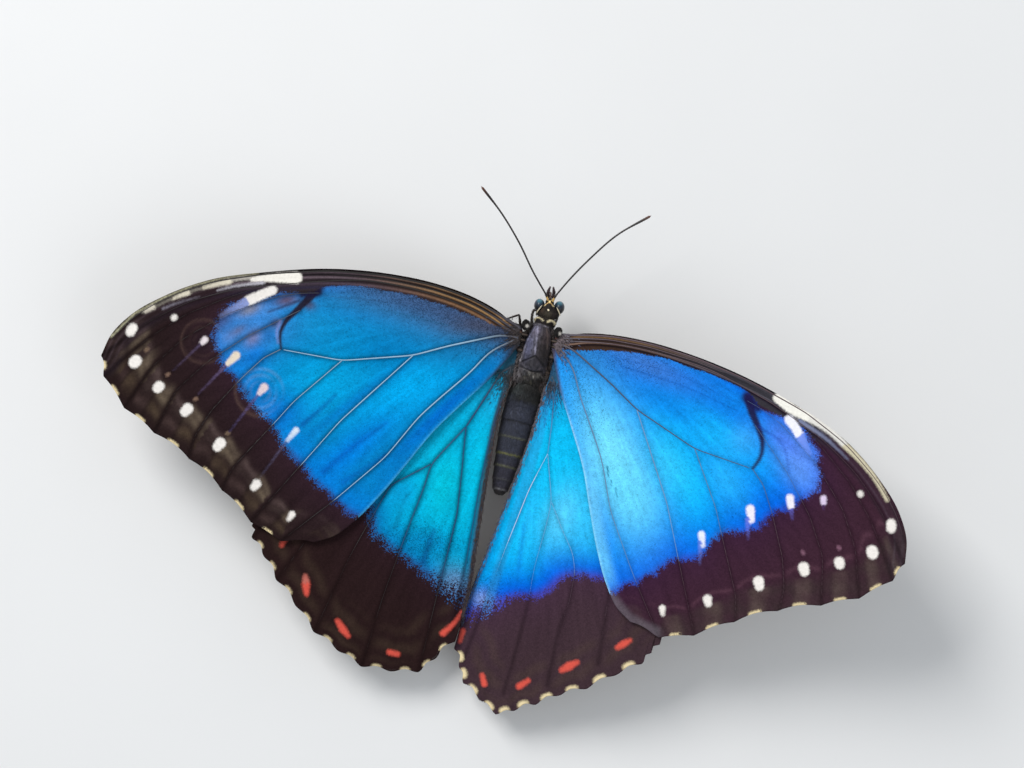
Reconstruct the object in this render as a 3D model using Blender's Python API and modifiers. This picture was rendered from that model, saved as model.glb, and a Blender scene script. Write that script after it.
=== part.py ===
"""A blue morpho butterfly at life size, wings spread, standing on its own feet.

Lengths are in millimetres and are turned into metres when a mesh is made. The butterfly faces -Y,
its back is up, its left side is +X, and the floor it stands on is z = 0. Places on the body are
measured from the middle of the thorax, (x, y), with z from the floor. Places on a wing are (out, back)
from that wing's hinge, as the wing lies flat.
"""

import math

import bmesh
import bpy
import numpy as np
from mathutils import Vector

MM = 0.001
GAP = 0.3                      # clear space between pieces that touch
BODY_AT = (-1.607, -14.749)    # thorax middle, seen from the middle of the whole butterfly

# Wings: the sheet each side's two wings lie in, and the wings' own outlines.
WING_THICK = 0.5
STACK = 0.87                   # how far the hindwing lies under the forewing
RISE = {"left": 7.0, "right": 16.0}      # degrees that the wings are raised
SHEET_AT = (3.2, -1.6, 9.2)    # the forewing hinge: out, along the body, and height
SHEET_PITCH = 0.02             # fall per millimetre towards the tail
SHEET_BOW = 1.2                # how far the tip bends down from the straight line
SHEET_SAG = 2.4                # how far the tail end bends down from the straight line
SHEET_LENGTH = 50.0
LEAD_DROOP = 0.04              # bend down ahead of the hinge, per square millimetre
WING_SPAN = 57.0
FORE_HINGE = {"left": (3.2, -1.6), "right": (2.7, -2.1)}
FORE_SWEEP = {"left": 0.0, "right": 3.25}   # degrees that the forewing is swung back
FORE_TUCK = {"left": 1.0, "right": 0.78}    # how full its front edge bows, ahead of the hinge
HIND_HINGE = (2.1, 3.6)
SCALLOP = 0.42                 # depth of the hollow between two vein ends

FORE_LEAD = [(-0.6, -0.9), (1.0, -1.5), (3.2, -2.6), (7.2, -3.8), (13.0, -4.5), (20.3, -4.3),
             (28.2, -3.1), (36.8, -0.6), (44.4, 2.3), (50.2, 6.0), (54.2, 9.7), (56.3, 13.1), (57.0, 16.2)]
FORE_TIPS = [(57.0, 16.2), (56.0, 19.0), (52.2, 22.7), (47.3, 25.2), (41.6, 27.7), (36.1, 31.0),
             (31.1, 34.5), (26.3, 36.2), (21.7, 35.3)]
FORE_TRAIL = [(-0.6, 1.3), (2.2, 6.6), (5.2, 11.0), (8.6, 16.2), (11.5, 22.0), (14.0, 26.8),
              (16.7, 31.1), (19.2, 33.9), (21.7, 35.3)]
HIND_LEAD = [(0.5, -3.9), (3.6, -3.7), (11.5, -0.9), (20.0, 4.2), (26.8, 11.8), (30.9, 20.5), (32.5, 28.4)]
HIND_TIPS = [(32.5, 28.4), (31.6, 31.5), (26.9, 36.6), (20.0, 42.7), (12.2, 46.1), (4.0, 45.1), (-0.2, 39.6)]
HIND_TRAIL = [(0.5, -0.4), (1.0, 8.0), (0.7, 14.2), (0.0, 24.0), (-0.6, 33.0), (-0.2, 39.6)]

# The right hindwing is drawn back against the body like a half-closed fan: directions from its hinge,
# in degrees out from straight back, and how far it reaches along each.
FAN_OPEN = [-12.0, -1.0, 5.1, 15.1, 25.1, 36.6, 45.5, 70.0, 100.0, 150.0]
FAN_DRAWN = [-16.0, -6.3, -2.0, 5.1, 11.9, 21.8, 33.4, 61.0, 95.0, 148.0]
FAN_REACH = [1.0, 1.035, 1.0, 1.02, 0.99, 0.985, 0.966, 0.96, 0.97, 1.0]

# Body lengths: (y, x, z, half width, half height) of each cross section, front to back.
HEAD_AT = (-0.35, -6.35, 7.9)
HEAD_TURN = 6.0                # degrees that the head is turned to the butterfly's left
HEAD_RINGS = [(-1.55, 0.0, -0.1, 0.0, 0.0), (-1.45, 0.0, -0.1, 0.62, 0.6), (-0.95, 0.0, 0.0, 1.0, 1.12),
              (-0.2, 0.0, 0.05, 1.32, 1.4), (0.7, 0.0, 0.0, 1.5, 1.32), (1.15, 0.0, -0.1, 0.95, 0.85),
              (1.25, 0.0, -0.1, 0.0, 0.0)]
COLLAR_RINGS = [(-4.8, -0.2, 7.5, 0.0, 0.0), (-4.72, -0.2, 7.5, 1.0, 0.9), (-4.35, -0.1, 7.5, 1.75, 1.5),
                (-4.08, 0.0, 7.5, 1.25, 1.2), (-4.0, 0.0, 7.5, 0.0, 0.0)]
THORAX_RINGS = [(-3.7, 0.05, 7.4, 0.0, 0.0), (-3.62, 0.05, 7.4, 1.15, 1.2), (-2.9, 0.0, 7.3, 1.9, 2.1),
                (-1.2, 0.0, 7.1, 2.3, 2.75), (1.2, 0.0, 7.0, 2.45, 2.85), (3.2, 0.1, 6.9, 2.3, 2.5),
                (4.3, 0.15, 6.8, 1.6, 1.7), (4.45, 0.15, 6.8, 0.0, 0.0)]
ABDOMEN_RINGS = [(4.75, 0.15, 6.6, 0.0, 0.0), (4.85, 0.15, 6.6, 1.5, 1.5), (5.8, 0.2, 6.5, 2.3, 2.1),
                 (8.4, 0.35, 6.2, 2.55, 2.2), (11.5, 0.45, 5.9, 2.45, 2.15), (14.6, 0.5, 5.6, 2.15, 1.95),
                 (17.4, 0.55, 5.3, 1.8, 1.65), (19.8, 0.6, 5.1, 1.4, 1.3), (21.2, 0.6, 5.0, 0.8, 0.75),
                 (21.5, 0.6, 5.0, 0.0, 0.0)]

EYE_OUT = 1.42                 # eye centre from the head's middle
EYE_FORWARD = 0.3
EYE_SIZE = (0.78, 0.95, 1.12)  # half sizes: across, along, up
TEGULA_AT = (2.35, -3.35, 9.55)
TEGULA_SIZE = (0.62, 0.85, 0.4)
PALP_PATH = [(0.32, -1.75, -0.15), (0.42, -2.15, 0.3), (0.36, -2.6, 0.75), (0.22, -3.05, 1.0)]
PALP_THICK = 0.62
TONGUE_AT = (0.0, -1.55, -2.1)   # the coiled tongue, from the head's middle
TONGUE_SIZE = (0.95, 0.5)         # radius and thickness of the coil

ANTENNA_THICK = 0.5
ANTENNA_PATHS = {
    "left": [(0.48, -8.1, 9.1), (2.9, -10.7, 10.0), (6.0, -14.5, 11.3), (9.1, -17.7, 12.3), (13.0, -20.95, 13.0)],
    "right": [(-0.8, -8.2, 9.1), (-2.2, -10.9, 10.0), (-4.4, -14.5, 11.3), (-7.3, -18.5, 12.4),
              (-11.45, -22.35, 13.0)],
}

# Legs: hip, knee, ankle and toe.
LEG_POINTS = {
    "midleg_left": [(1.75, 0.9, 3.95), (3.6, -4.55, 7.2), (9.3, -1.1, 0.95), (13.7, 1.0, 0.0)],
    "midleg_right": [(-1.75, 0.9, 3.95), (-6.0, -2.2, 6.9), (-11.0, -0.8, 0.95), (-15.6, 0.9, 0.0)],
    "hindleg_left": [(1.6, 3.1, 4.1), (5.3, 8.4, 6.0), (8.6, 15.4, 0.95), (10.6, 20.4, 0.0)],
    "hindleg_right": [(-1.5, 3.1, 4.1), (-5.6, 8.2, 6.0), (-9.4, 14.6, 0.95), (-11.9, 19.4, 0.0)],
}
FEMUR_THICK = 0.75
TIBIA_THICK = 0.6
FOOT_SIZE = (0.55, 0.5)        # width and height of the flat foot
FORELEG_PATHS = {
    "left": [(1.45, -3.6, 5.6), (1.75, -4.7, 5.5), (1.7, -5.6, 5.2), (1.35, -5.75, 4.75), (1.15, -5.1, 4.3)],
    "right": [(-1.35, -3.6, 5.6), (-1.7, -4.7, 5.5), (-1.75, -5.6, 5.2), (-1.45, -5.75, 4.75), (-1.2, -5.1, 4.3)],
}
FORELEG_THICK = 0.55

SIDES = {"left": 1.0, "right": -1.0}
BODY_STEPS = (14, 18)          # rings along a body part, and points round it
WING_STEPS_OUT = 12            # cells from a wing's root to its margin
MARGIN_STEPS = 4               # cells along the margin between two vein ends


def clear_scene():
    for obj in list(bpy.data.objects):
        bpy.data.objects.remove(obj, do_unlink=True)


def collection(name, hidden=False):
    made = bpy.data.collections.new(name)
    bpy.context.scene.collection.children.link(made)
    made.hide_render = hidden
    return made


def material(name, colour, roughness, metallic=0.0):
    made = bpy.data.materials.new(name)
    made.use_nodes = True
    shader = made.node_tree.nodes["Principled BSDF"]
    shader.inputs["Base Color"].default_value = (*colour, 1.0)
    shader.inputs["Roughness"].default_value = roughness
    shader.inputs["Metallic"].default_value = metallic
    made.diffuse_color = (*colour, 1.0)
    return made


def in_metres(points):
    """Body places in millimetres, as metres in the butterfly's own frame."""
    return (np.asarray(points, float) + (*BODY_AT, 0.0)) * MM


def smooth_through(at, known_at, known):
    """Values at `at` on a curve that passes smoothly through every known point (cubic Hermite)."""
    known_at = np.asarray(known_at, float)
    known = np.asarray(known, float)
    slopes = np.gradient(known, known_at, axis=0)
    cell = np.clip(np.searchsorted(known_at, at, side="right") - 1, 0, len(known_at) - 2)
    width = known_at[cell + 1] - known_at[cell]
    part = (at - known_at[cell]) / width
    if known.ndim > 1:
        part = part[:, None]
        width = width[:, None]
    rest = 1.0 - part
    return (known[cell] * (1 + 2 * part) * rest**2 + slopes[cell] * width * part * rest**2
            + known[cell + 1] * (3 - 2 * part) * part**2 - slopes[cell + 1] * width * rest * part**2)


def path_through(points, count):
    """`count` places spaced evenly along the smooth curve through the given points."""
    points = np.asarray(points, float)
    along = np.r_[0.0, np.cumsum(np.linalg.norm(np.diff(points, axis=0), axis=1))]
    fine = smooth_through(np.linspace(0.0, along[-1], 400), along, points)
    travelled = np.r_[0.0, np.cumsum(np.linalg.norm(np.diff(fine, axis=0), axis=1))]
    even = np.linspace(0.0, travelled[-1], count)
    return np.stack([np.interp(even, travelled, column) for column in fine.T], axis=1)


def scalloped(tips, count):
    """The outer margin: the curve through the vein ends, drawn in by SCALLOP between each two."""
    at = np.linspace(0.0, len(tips) - 1, count)
    line = smooth_through(at, np.arange(len(tips)), tips)
    ahead = np.gradient(line, axis=0)
    ahead /= np.linalg.norm(ahead, axis=1)[:, None]
    inward = np.stack([-ahead[:, 1], ahead[:, 0]], axis=1)
    inward *= np.sign(np.sum(inward * (np.mean(tips, axis=0) * 0.5 - line), axis=1))[:, None]
    return line + inward * (SCALLOP * np.sin(np.pi * (at % 1.0)))[:, None]


def wing_plan(lead, tips, trail):
    """Flat (out, back) places on a grid: a Coons patch between the lead, margin, trail and root edges."""
    along = WING_STEPS_OUT + 1
    across = MARGIN_STEPS * (len(tips) - 1) + 1
    front = path_through(lead, along)[:, None, :]
    rear = path_through(trail, along)[:, None, :]
    margin = scalloped(tips, across)[None, :, :]
    u = np.linspace(0.0, 1.0, along)[:, None, None]
    v = np.linspace(0.0, 1.0, across)[None, :, None]
    root = front[:1] * (1 - v) + rear[:1] * v
    corners = (front[:1] * (1 - u) * (1 - v) + rear[:1] * (1 - u) * v
               + front[-1:] * u * (1 - v) + rear[-1:] * u * v)
    return front * (1 - v) + rear * v + root * (1 - u) + margin * u - corners


def drawn_back(plan):
    """A hindwing's flat places with the fan of its veins partly closed."""
    turn = np.degrees(np.arctan2(plan[..., 0], plan[..., 1]))
    reach = np.hypot(plan[..., 0], plan[..., 1])
    new_turn = np.radians(smooth_through(turn.ravel(), FAN_OPEN, FAN_DRAWN)).reshape(turn.shape)
    reach = reach * smooth_through(turn.ravel(), FAN_OPEN, FAN_REACH).reshape(turn.shape)
    return np.stack([reach * np.sin(new_turn), reach * np.cos(new_turn)], axis=-1)


def sheet_height(side, out, along):
    """Height of one side's wing sheet: raised outwards, and bent down at the tip, the tail and the front."""
    run = out - SHEET_AT[0]
    ahead = np.minimum(along - SHEET_AT[1], 0.0)
    behind = np.maximum(along, 0.0)
    return (SHEET_AT[2] + run * math.tan(math.radians(RISE[side])) - SHEET_BOW * (run / WING_SPAN) ** 2
            - SHEET_PITCH * (along - SHEET_AT[1]) - SHEET_SAG * (behind / SHEET_LENGTH) ** 2
            - LEAD_DROOP * ahead**2)


def laid_on_sheet(side, plan, hinge, sweep, lower):
    """Body places of flat wing places: turned by the sweep, tilted by the rise, laid on the sheet."""
    turn = math.radians(sweep)
    out = plan[..., 0] * math.cos(turn) - plan[..., 1] * math.sin(turn)
    back = plan[..., 0] * math.sin(turn) + plan[..., 1] * math.cos(turn)
    out = hinge[0] + out * math.cos(math.radians(RISE[side]))
    along = hinge[1] + back
    return np.stack([SIDES[side] * out, along, sheet_height(side, out, along) - lower], axis=-1)


def grid_object(name, grid, into, finish):
    """An open sheet of quads, one row of the grid after another, facing up."""
    rows, columns = grid.shape[:2]
    number = np.arange(rows * columns).reshape(rows, columns)
    quads = np.stack([number[:-1, :-1], number[1:, :-1], number[1:, 1:], number[:-1, 1:]], axis=-1)
    mesh = bpy.data.meshes.new(name)
    mesh.from_pydata(in_metres(grid.reshape(-1, 3)).tolist(), [], quads.reshape(-1, 4).tolist())
    if mesh.polygons[0].normal.z < 0:
        mesh.flip_normals()
    mesh.materials.append(finish)
    mesh.shade_smooth()
    made = bpy.data.objects.new(name, mesh)
    into.objects.link(made)
    return made


def wing(name, grid, into, finish):
    """A wing: its sheet given the wing's thickness, half above and half below."""
    made = grid_object(name, grid, into, finish)
    shell = made.modifiers.new("thickness", "SOLIDIFY")
    shell.thickness = WING_THICK * MM
    shell.offset = 0.0
    return made


def forewing(side, into, finish):
    plan = wing_plan(FORE_LEAD, FORE_TIPS, FORE_TRAIL)
    plan[..., 1] = np.where(plan[..., 1] < 0.0, plan[..., 1] * FORE_TUCK[side], plan[..., 1])
    grid = laid_on_sheet(side, plan, FORE_HINGE[side], FORE_SWEEP[side], 0.0)
    return wing("forewing_" + side, grid, into, finish)


def hindwing(side, into, finish):
    plan = wing_plan(HIND_LEAD, HIND_TIPS, HIND_TRAIL)
    if side == "right":
        plan = drawn_back(plan)
    grid = laid_on_sheet(side, plan, HIND_HINGE, 0.0, STACK)
    return wing("hindwing_" + side, grid, into, finish)


def ball(name, steps, into, finish):
    """A unit ball whose poles lie along y, as an object to be shaped."""
    shape = bmesh.new()
    bmesh.ops.create_uvsphere(shape, u_segments=steps[1], v_segments=steps[0], radius=1.0)
    for vertex in shape.verts:
        vertex.co = Vector((vertex.co.x, vertex.co.z, -vertex.co.y))
    mesh = bpy.data.meshes.new(name)
    shape.to_mesh(mesh)
    shape.free()
    mesh.materials.append(finish)
    mesh.shade_smooth()
    made = bpy.data.objects.new(name, mesh)
    into.objects.link(made)
    return made


def set_places(obj, places):
    obj.data.vertices.foreach_set("co", places.astype(np.float32).ravel())
    obj.data.update()


def places_of(obj):
    places = np.empty(len(obj.data.vertices) * 3, np.float32)
    obj.data.vertices.foreach_get("co", places)
    return places.reshape(-1, 3).astype(float)


def body_length(name, rings, into, finish, frame=None):
    """A ball stretched over cross sections: its latitude picks the section, its longitude the place round it."""
    made = ball(name, BODY_STEPS, into, finish)
    unit = places_of(made)
    latitude = np.arccos(np.clip(-unit[:, 1], -1.0, 1.0)) / math.pi
    section = smooth_through(latitude * (len(rings) - 1), np.arange(len(rings)), rings)
    round_it = unit[:, [0, 2]] / np.maximum(np.linalg.norm(unit[:, [0, 2]], axis=1), 1e-6)[:, None]
    size = np.maximum(section[:, 3:5], 0.0)
    places = np.stack([section[:, 1] + round_it[:, 0] * size[:, 0], section[:, 0],
                       section[:, 2] + round_it[:, 1] * size[:, 1]], axis=1)
    if frame:
        places = frame(places)
    set_places(made, in_metres(places))
    return made


def on_head(places):
    """Body places of places measured from the head's middle, turned with the head."""
    turn = math.radians(HEAD_TURN)
    places = np.asarray(places, float)
    x = places[..., 0] * math.cos(turn) - places[..., 1] * math.sin(turn)
    y = places[..., 0] * math.sin(turn) + places[..., 1] * math.cos(turn)
    return np.stack([x, y, places[..., 2]], axis=-1) + HEAD_AT


def eye(side, into, finish, extra=0.0, name=None):
    """An egg-shaped eye; `extra` makes the larger copy that hollows out its socket."""
    made = ball(name or "eye_" + side, (10, 14), into, finish)
    size = np.array(EYE_SIZE) + extra
    places = places_of(made) * size + (SIDES[side] * EYE_OUT, -EYE_FORWARD, 0.0)
    set_places(made, in_metres(on_head(places)))
    return made


def head(into, cutters, finish):
    """The head, hollowed on each side so that the eye sits in its socket."""
    made = body_length("head", HEAD_RINGS, into, finish, on_head)
    for side in SIDES:
        socket = eye(side, cutters, finish, GAP, "socket_" + side)
        socket.display_type = "WIRE"
        socket.hide_render = True
        cut = made.modifiers.new("socket_" + side, "BOOLEAN")
        cut.operation = "DIFFERENCE"
        cut.solver = "EXACT"
        cut.object = socket
    return made


def tegula(side, into, finish):
    """The small scale over the root of a forewing."""
    made = ball("tegula_" + side, (6, 10), into, finish)
    centre = (SIDES[side] * TEGULA_AT[0], TEGULA_AT[1], TEGULA_AT[2])
    set_places(made, in_metres(places_of(made) * TEGULA_SIZE + centre))
    return made


def rod(name, path, radii, into, finish, sides=8):
    """A round bar along a path of body places, with its own radius at each and closed ends."""
    curve = bpy.data.curves.new(name, "CURVE")
    curve.dimensions = "3D"
    curve.bevel_depth = MM
    curve.bevel_resolution = (sides - 4) // 2
    curve.use_fill_caps = True
    line = curve.splines.new("POLY")
    line.points.add(len(path) - 1)
    for point, place, radius in zip(line.points, in_metres(path), radii):
        point.co = (*place, 1.0)
        point.radius = radius
    curve.materials.append(finish)
    made = bpy.data.objects.new(name, curve)
    into.objects.link(made)
    return made


def antenna(side, into, finish):
    """A feeler: a thin stem that thickens a little into the club at its end."""
    path = path_through(ANTENNA_PATHS[side], 14)
    along = np.linspace(0.0, 1.0, len(path))
    radii = ANTENNA_THICK / 2 * (1.0 + 0.2 * np.clip((along - 0.75) / 0.15, 0.0, 1.0))
    return rod("antenna_" + side, path, radii, into, finish, 6)


def palp(side, into, finish):
    """One of the two short feelers that stand up in front of the face."""
    path = path_through(np.array(PALP_PATH) * (SIDES[side], 1.0, 1.0), 6)
    along = np.linspace(0.0, 1.0, len(path))
    radii = PALP_THICK / 2 * (1.0 - 0.45 * along)
    return rod("palp_" + side, on_head(path), radii, into, finish)


def tongue(into, finish):
    """The coiled tongue as the flat disc its coil fills."""
    shape = bmesh.new()
    bmesh.ops.create_cone(shape, cap_ends=True, segments=16, radius1=TONGUE_SIZE[0], radius2=TONGUE_SIZE[0],
                          depth=TONGUE_SIZE[1])
    mesh = bpy.data.meshes.new("proboscis")
    shape.to_mesh(mesh)
    shape.free()
    mesh.materials.append(finish)
    made = bpy.data.objects.new("proboscis", mesh)
    into.objects.link(made)
    upright = places_of(made)[:, [2, 0, 1]]
    set_places(made, in_metres(on_head(upright + TONGUE_AT)))
    return made


def shortened(start, end, first, last):
    """The two ends of a leg length, drawn in by `first` and `last` so that it clears its neighbours."""
    start = np.array(start, float)
    end = np.array(end, float)
    along = (end - start) / np.linalg.norm(end - start)
    return np.stack([start + along * first, end - along * last])


def foot(name, ankle, toe, into, finish):
    """The foot: a slim bar tapering to the toe, flat on the floor."""
    shape = bmesh.new()
    bmesh.ops.create_cube(shape, size=1.0)
    mesh = bpy.data.meshes.new(name)
    shape.to_mesh(mesh)
    shape.free()
    mesh.materials.append(finish)
    made = bpy.data.objects.new(name, mesh)
    into.objects.link(made)
    ahead = np.array([toe[0] - ankle[0], toe[1] - ankle[1]])
    aside = np.array([-ahead[1], ahead[0]]) / np.linalg.norm(ahead)
    box = places_of(made)
    along = box[:, 0] + 0.5
    taper = 1.0 - 0.3 * along
    ground = np.array(ankle[:2]) + along[:, None] * ahead + (box[:, 1] * taper * FOOT_SIZE[0])[:, None] * aside
    height = (box[:, 2] + 0.5) * FOOT_SIZE[1] * taper
    set_places(made, in_metres(np.column_stack([ground, height])))
    return made


def leg(name, points, into, finish):
    """A walking leg: femur from the hip to the knee, tibia down to the ankle, and the foot."""
    hip, knee, ankle, toe = points
    part, side = name.split("_")
    femur = shortened(hip, knee, 0.0, GAP)
    tibia = shortened(knee, ankle, GAP, 0.0)
    rod(f"{part}_femur_{side}", femur, (FEMUR_THICK / 2, FEMUR_THICK * 0.4), into, finish)
    rod(f"{part}_tibia_{side}", tibia, (TIBIA_THICK / 2, TIBIA_THICK * 0.42), into, finish)
    foot(f"{part}_tarsus_{side}", ankle, toe, into, finish)


def foreleg(side, into, finish):
    """A short, hairy foreleg folded against the breast; the butterfly doesn't walk on it."""
    path = path_through(FORELEG_PATHS[side], 10)
    radii = np.full(len(path), FORELEG_THICK / 2)
    rod("foreleg_" + side, path, radii, into, finish)


def build():
    clear_scene()
    butterfly = collection("blue_morpho_butterfly")
    cutters = collection("cutters", hidden=True)
    blue = material("wing blue", (0.01, 0.24, 0.72), 0.35, 0.3)
    dark = material("body dark", (0.035, 0.033, 0.038), 0.7)
    horn = material("feeler brown", (0.03, 0.02, 0.018), 0.5)
    lens = material("eye", (0.01, 0.04, 0.05), 0.12)
    for side in SIDES:
        forewing(side, butterfly, blue)
        hindwing(side, butterfly, blue)
        eye(side, butterfly, lens)
        tegula(side, butterfly, dark)
        antenna(side, butterfly, horn)
        palp(side, butterfly, dark)
        foreleg(side, butterfly, dark)
    head(butterfly, cutters, dark)
    body_length("collar", COLLAR_RINGS, butterfly, dark)
    body_length("thorax", THORAX_RINGS, butterfly, dark)
    body_length("abdomen", ABDOMEN_RINGS, butterfly, dark)
    tongue(butterfly, horn)
    for name, points in LEG_POINTS.items():
        leg(name, points, butterfly, horn)


build()
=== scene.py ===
"""The looks of a life-size blue morpho butterfly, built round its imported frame.

Lengths are in millimetres and are turned into metres when a mesh is made. Body places are (x, y, z) from
the middle of the thorax, with z from the floor: the head points to -y, the left side is +x. Places on a
wing are flat: (out, back) from that wing's hinge. Shades are six-digit colours.
"""
import math

import bpy
import numpy as np
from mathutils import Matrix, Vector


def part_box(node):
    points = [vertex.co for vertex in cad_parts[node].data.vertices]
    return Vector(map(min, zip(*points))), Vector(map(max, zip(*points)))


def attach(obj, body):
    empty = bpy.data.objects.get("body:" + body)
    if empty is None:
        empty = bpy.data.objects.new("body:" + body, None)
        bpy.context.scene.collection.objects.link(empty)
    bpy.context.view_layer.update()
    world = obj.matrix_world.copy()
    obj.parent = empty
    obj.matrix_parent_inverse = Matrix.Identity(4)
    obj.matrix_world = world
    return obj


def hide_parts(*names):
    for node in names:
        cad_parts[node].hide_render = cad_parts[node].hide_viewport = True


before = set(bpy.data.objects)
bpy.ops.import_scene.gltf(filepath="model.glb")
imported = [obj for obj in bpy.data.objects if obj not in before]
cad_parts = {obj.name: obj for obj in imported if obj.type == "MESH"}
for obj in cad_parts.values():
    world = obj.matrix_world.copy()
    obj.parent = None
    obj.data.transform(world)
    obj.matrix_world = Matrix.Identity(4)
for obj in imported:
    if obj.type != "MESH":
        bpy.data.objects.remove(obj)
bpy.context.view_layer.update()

MM = 0.001
TURN = 2 * math.pi
SIDES = {"left": 1, "right": -1}
RANDOM = np.random.default_rng(7)
FINE = 1.0  # share of the full number of cells and tufts

# ---- driving sizes

WING_SKIN = 0.16  # thickness of a wing's membrane with its scales
VEIN_STEPS = 56  # places along a vein
MAP_RIM = 0.01  # what a bake map keeps free at its edges
UNDER_SHIFT = 30.0  # how far the grain of a wing's underside lies from that of its upper side
CAMERA_AT = (0.000753, -0.009389, 0.5566)  # in metres
CAMERA_TURN = 193.12  # degrees about the upright axis, as the butterfly lies
STACK = 0.87  # how far the hindwing lies under the forewing
RISE = {"left": 7, "right": 16}  # degrees by which the wings rise outwards
# The sheet on which a side's wings lie: its hinge, its slope to the back, how far it bows down at the wing's
# tip and sags at the tail, each over its own length, and how it droops in front of the hinge.
SHEET_AT = (3.2, -1.6, 9.2)
SHEET_PITCH = 0.02
SHEET_BOW = 1.2
SHEET_SAG = 2.4
SHEET_LENGTH = 50.0
LEAD_DROOP = 0.04
WING_SPAN = 57.0
# Hinges (out, along), how many degrees the forewings sweep back, and how narrow their front strip looks.
FORE_HINGE = {"left": (3.2, -1.6), "right": (2.7, -2.1)}
HIND_HINGE = (2.1, 3.6)
FORE_SWEEP = {"left": 0, "right": 3.25}
FORE_TUCK = {"left": 1, "right": 0.78}
FORE_SCALLOP = (0.4, 0)  # how deep the margin is drawn in between two veins: once, and twice over
HIND_SCALLOP = (0.3, 0.5)

# Outlines: flat places along a wing's front edge, at the vein ends on its margin, and along its inner edge.
FORE_LEAD = [(-0.6, -0.9), (1, -1.5), (3.2, -2.6), (7.2, -3.8), (13, -4.5), (20.3, -4.3), (28.2, -3.1),
    (36.8, -0.6), (44.4, 2.3), (50.2, 6), (54.2, 9.7), (56.3, 13.1), (57, 16.2)]
FORE_TIPS = [(57, 16.2), (56, 19), (52.2, 22.7), (47.3, 25.2), (41.6, 27.7), (36.1, 31), (31.1, 34.5),
    (26.3, 36.2), (21.7, 35.3)]
FORE_TRAIL = [(-0.6, 1.3), (2.2, 6.6), (5.2, 11), (8.6, 16.2), (11.5, 22), (14, 26.8), (16.7, 31.1),
    (19.2, 33.9), (21.7, 35.3)]
HIND_LEAD = [(0.5, -3.9), (3.6, -3.7), (11.5, -0.9), (20, 4.2), (26.8, 11.8), (30.9, 20.5), (32.5, 28.4)]
HIND_TIPS = [(32.5, 28.4), (31.6, 31.5), (26.9, 36.6), (20, 42.7), (12.2, 46.1), (4, 45.1), (-0.2, 39.6)]
HIND_TRAIL = [(0.5, -0.4), (1, 8), (0.7, 14.2), (0, 24), (-0.6, 33), (-0.2, 39.6)]
# How the right hindwing's fan is drawn back: degrees from straight back when open and when drawn back, and
# what share of its reach each stays.
FAN_OPEN = [-12, -1, 5.1, 15.1, 25.1, 36.6, 45.5, 70, 100, 150]
FAN_DRAWN = [-16, -6.3, -2, 5.1, 11.9, 21.8, 33.4, 61, 95, 148]
FAN_REACH = [1, 1.035, 1, 1.02, 0.99, 0.985, 0.966, 0.96, 0.97, 1]

# Veins: flat places from the root outwards, with the half thickness at the start and at the end.
FORE_VEINS = [
    ([(-0.3, -1), (3.2, -2.25), (7.2, -3.5), (13, -4.2), (20.3, -4), (28.2, -2.8), (36.8, -0.35),
      (44.3, 2.6), (50, 6.25), (53.9, 9.9), (56, 13.2)], 0.34, 0.12),
    ([(0, -0.5), (3.6, -1.75), (7.2, -2.85), (13, -3.55), (20.3, -3.45), (27.5, -2.45),
      (33, -1.4)], 0.24, 0.08),
    ([(0.3, -0.1), (3.4, -1.1), (6.8, -2.1), (12.1, -2.9), (17.5, -3.05), (22.7, -2.75), (27.6, -1.5),
      (33.6, 0.35), (40.8, 2.8), (46.9, 6.1), (51.9, 10.3), (55.2, 14.2), (56.9, 16.4)], 0.22, 0.09),
    ([(36.5, 1.2), (41, 3.9), (46.5, 7.7), (50.8, 12), (53.7, 15.7), (55.9, 18.9)], 0.12, 0.09),
    ([(28.9, 0.6), (31.4, 1.2), (34.7, 2.5), (40.8, 6.3), (46.3, 11.3), (49.7, 16.2),
      (52.1, 22.5)], 0.13, 0.09),
    ([(31, 3.6), (37.4, 8.8), (42.2, 13.7), (45.6, 18.6), (47.3, 25)], 0.13, 0.09),
    ([(32.4, 9.6), (34.5, 11.3), (36.9, 14.8), (40.1, 20.3), (41.6, 24.4), (41.8, 27.5)], 0.15, 0.09),
    ([(23.6, 9.2), (28.9, 16.3), (30.8, 19.7), (35.3, 27.4), (36.2, 30.8)], 0.16, 0.09),
    ([(13.9, 6.2), (21.9, 17.6), (25.4, 24), (31.1, 34.3)], 0.18, 0.09),
    ([(-0.2, 0.3), (2.3, 0.5), (9.2, 3.7), (13.9, 6.2), (23.6, 9.2), (32.4, 9.6)], 0.27, 0.15),
    ([(-0.2, 0.4), (3.3, 3.1), (5.3, 6.6), (8.9, 11.4), (11.1, 14.5), (14.4, 21.1), (20.2, 28.8),
      (26.2, 36)], 0.25, 0.1)]
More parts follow.
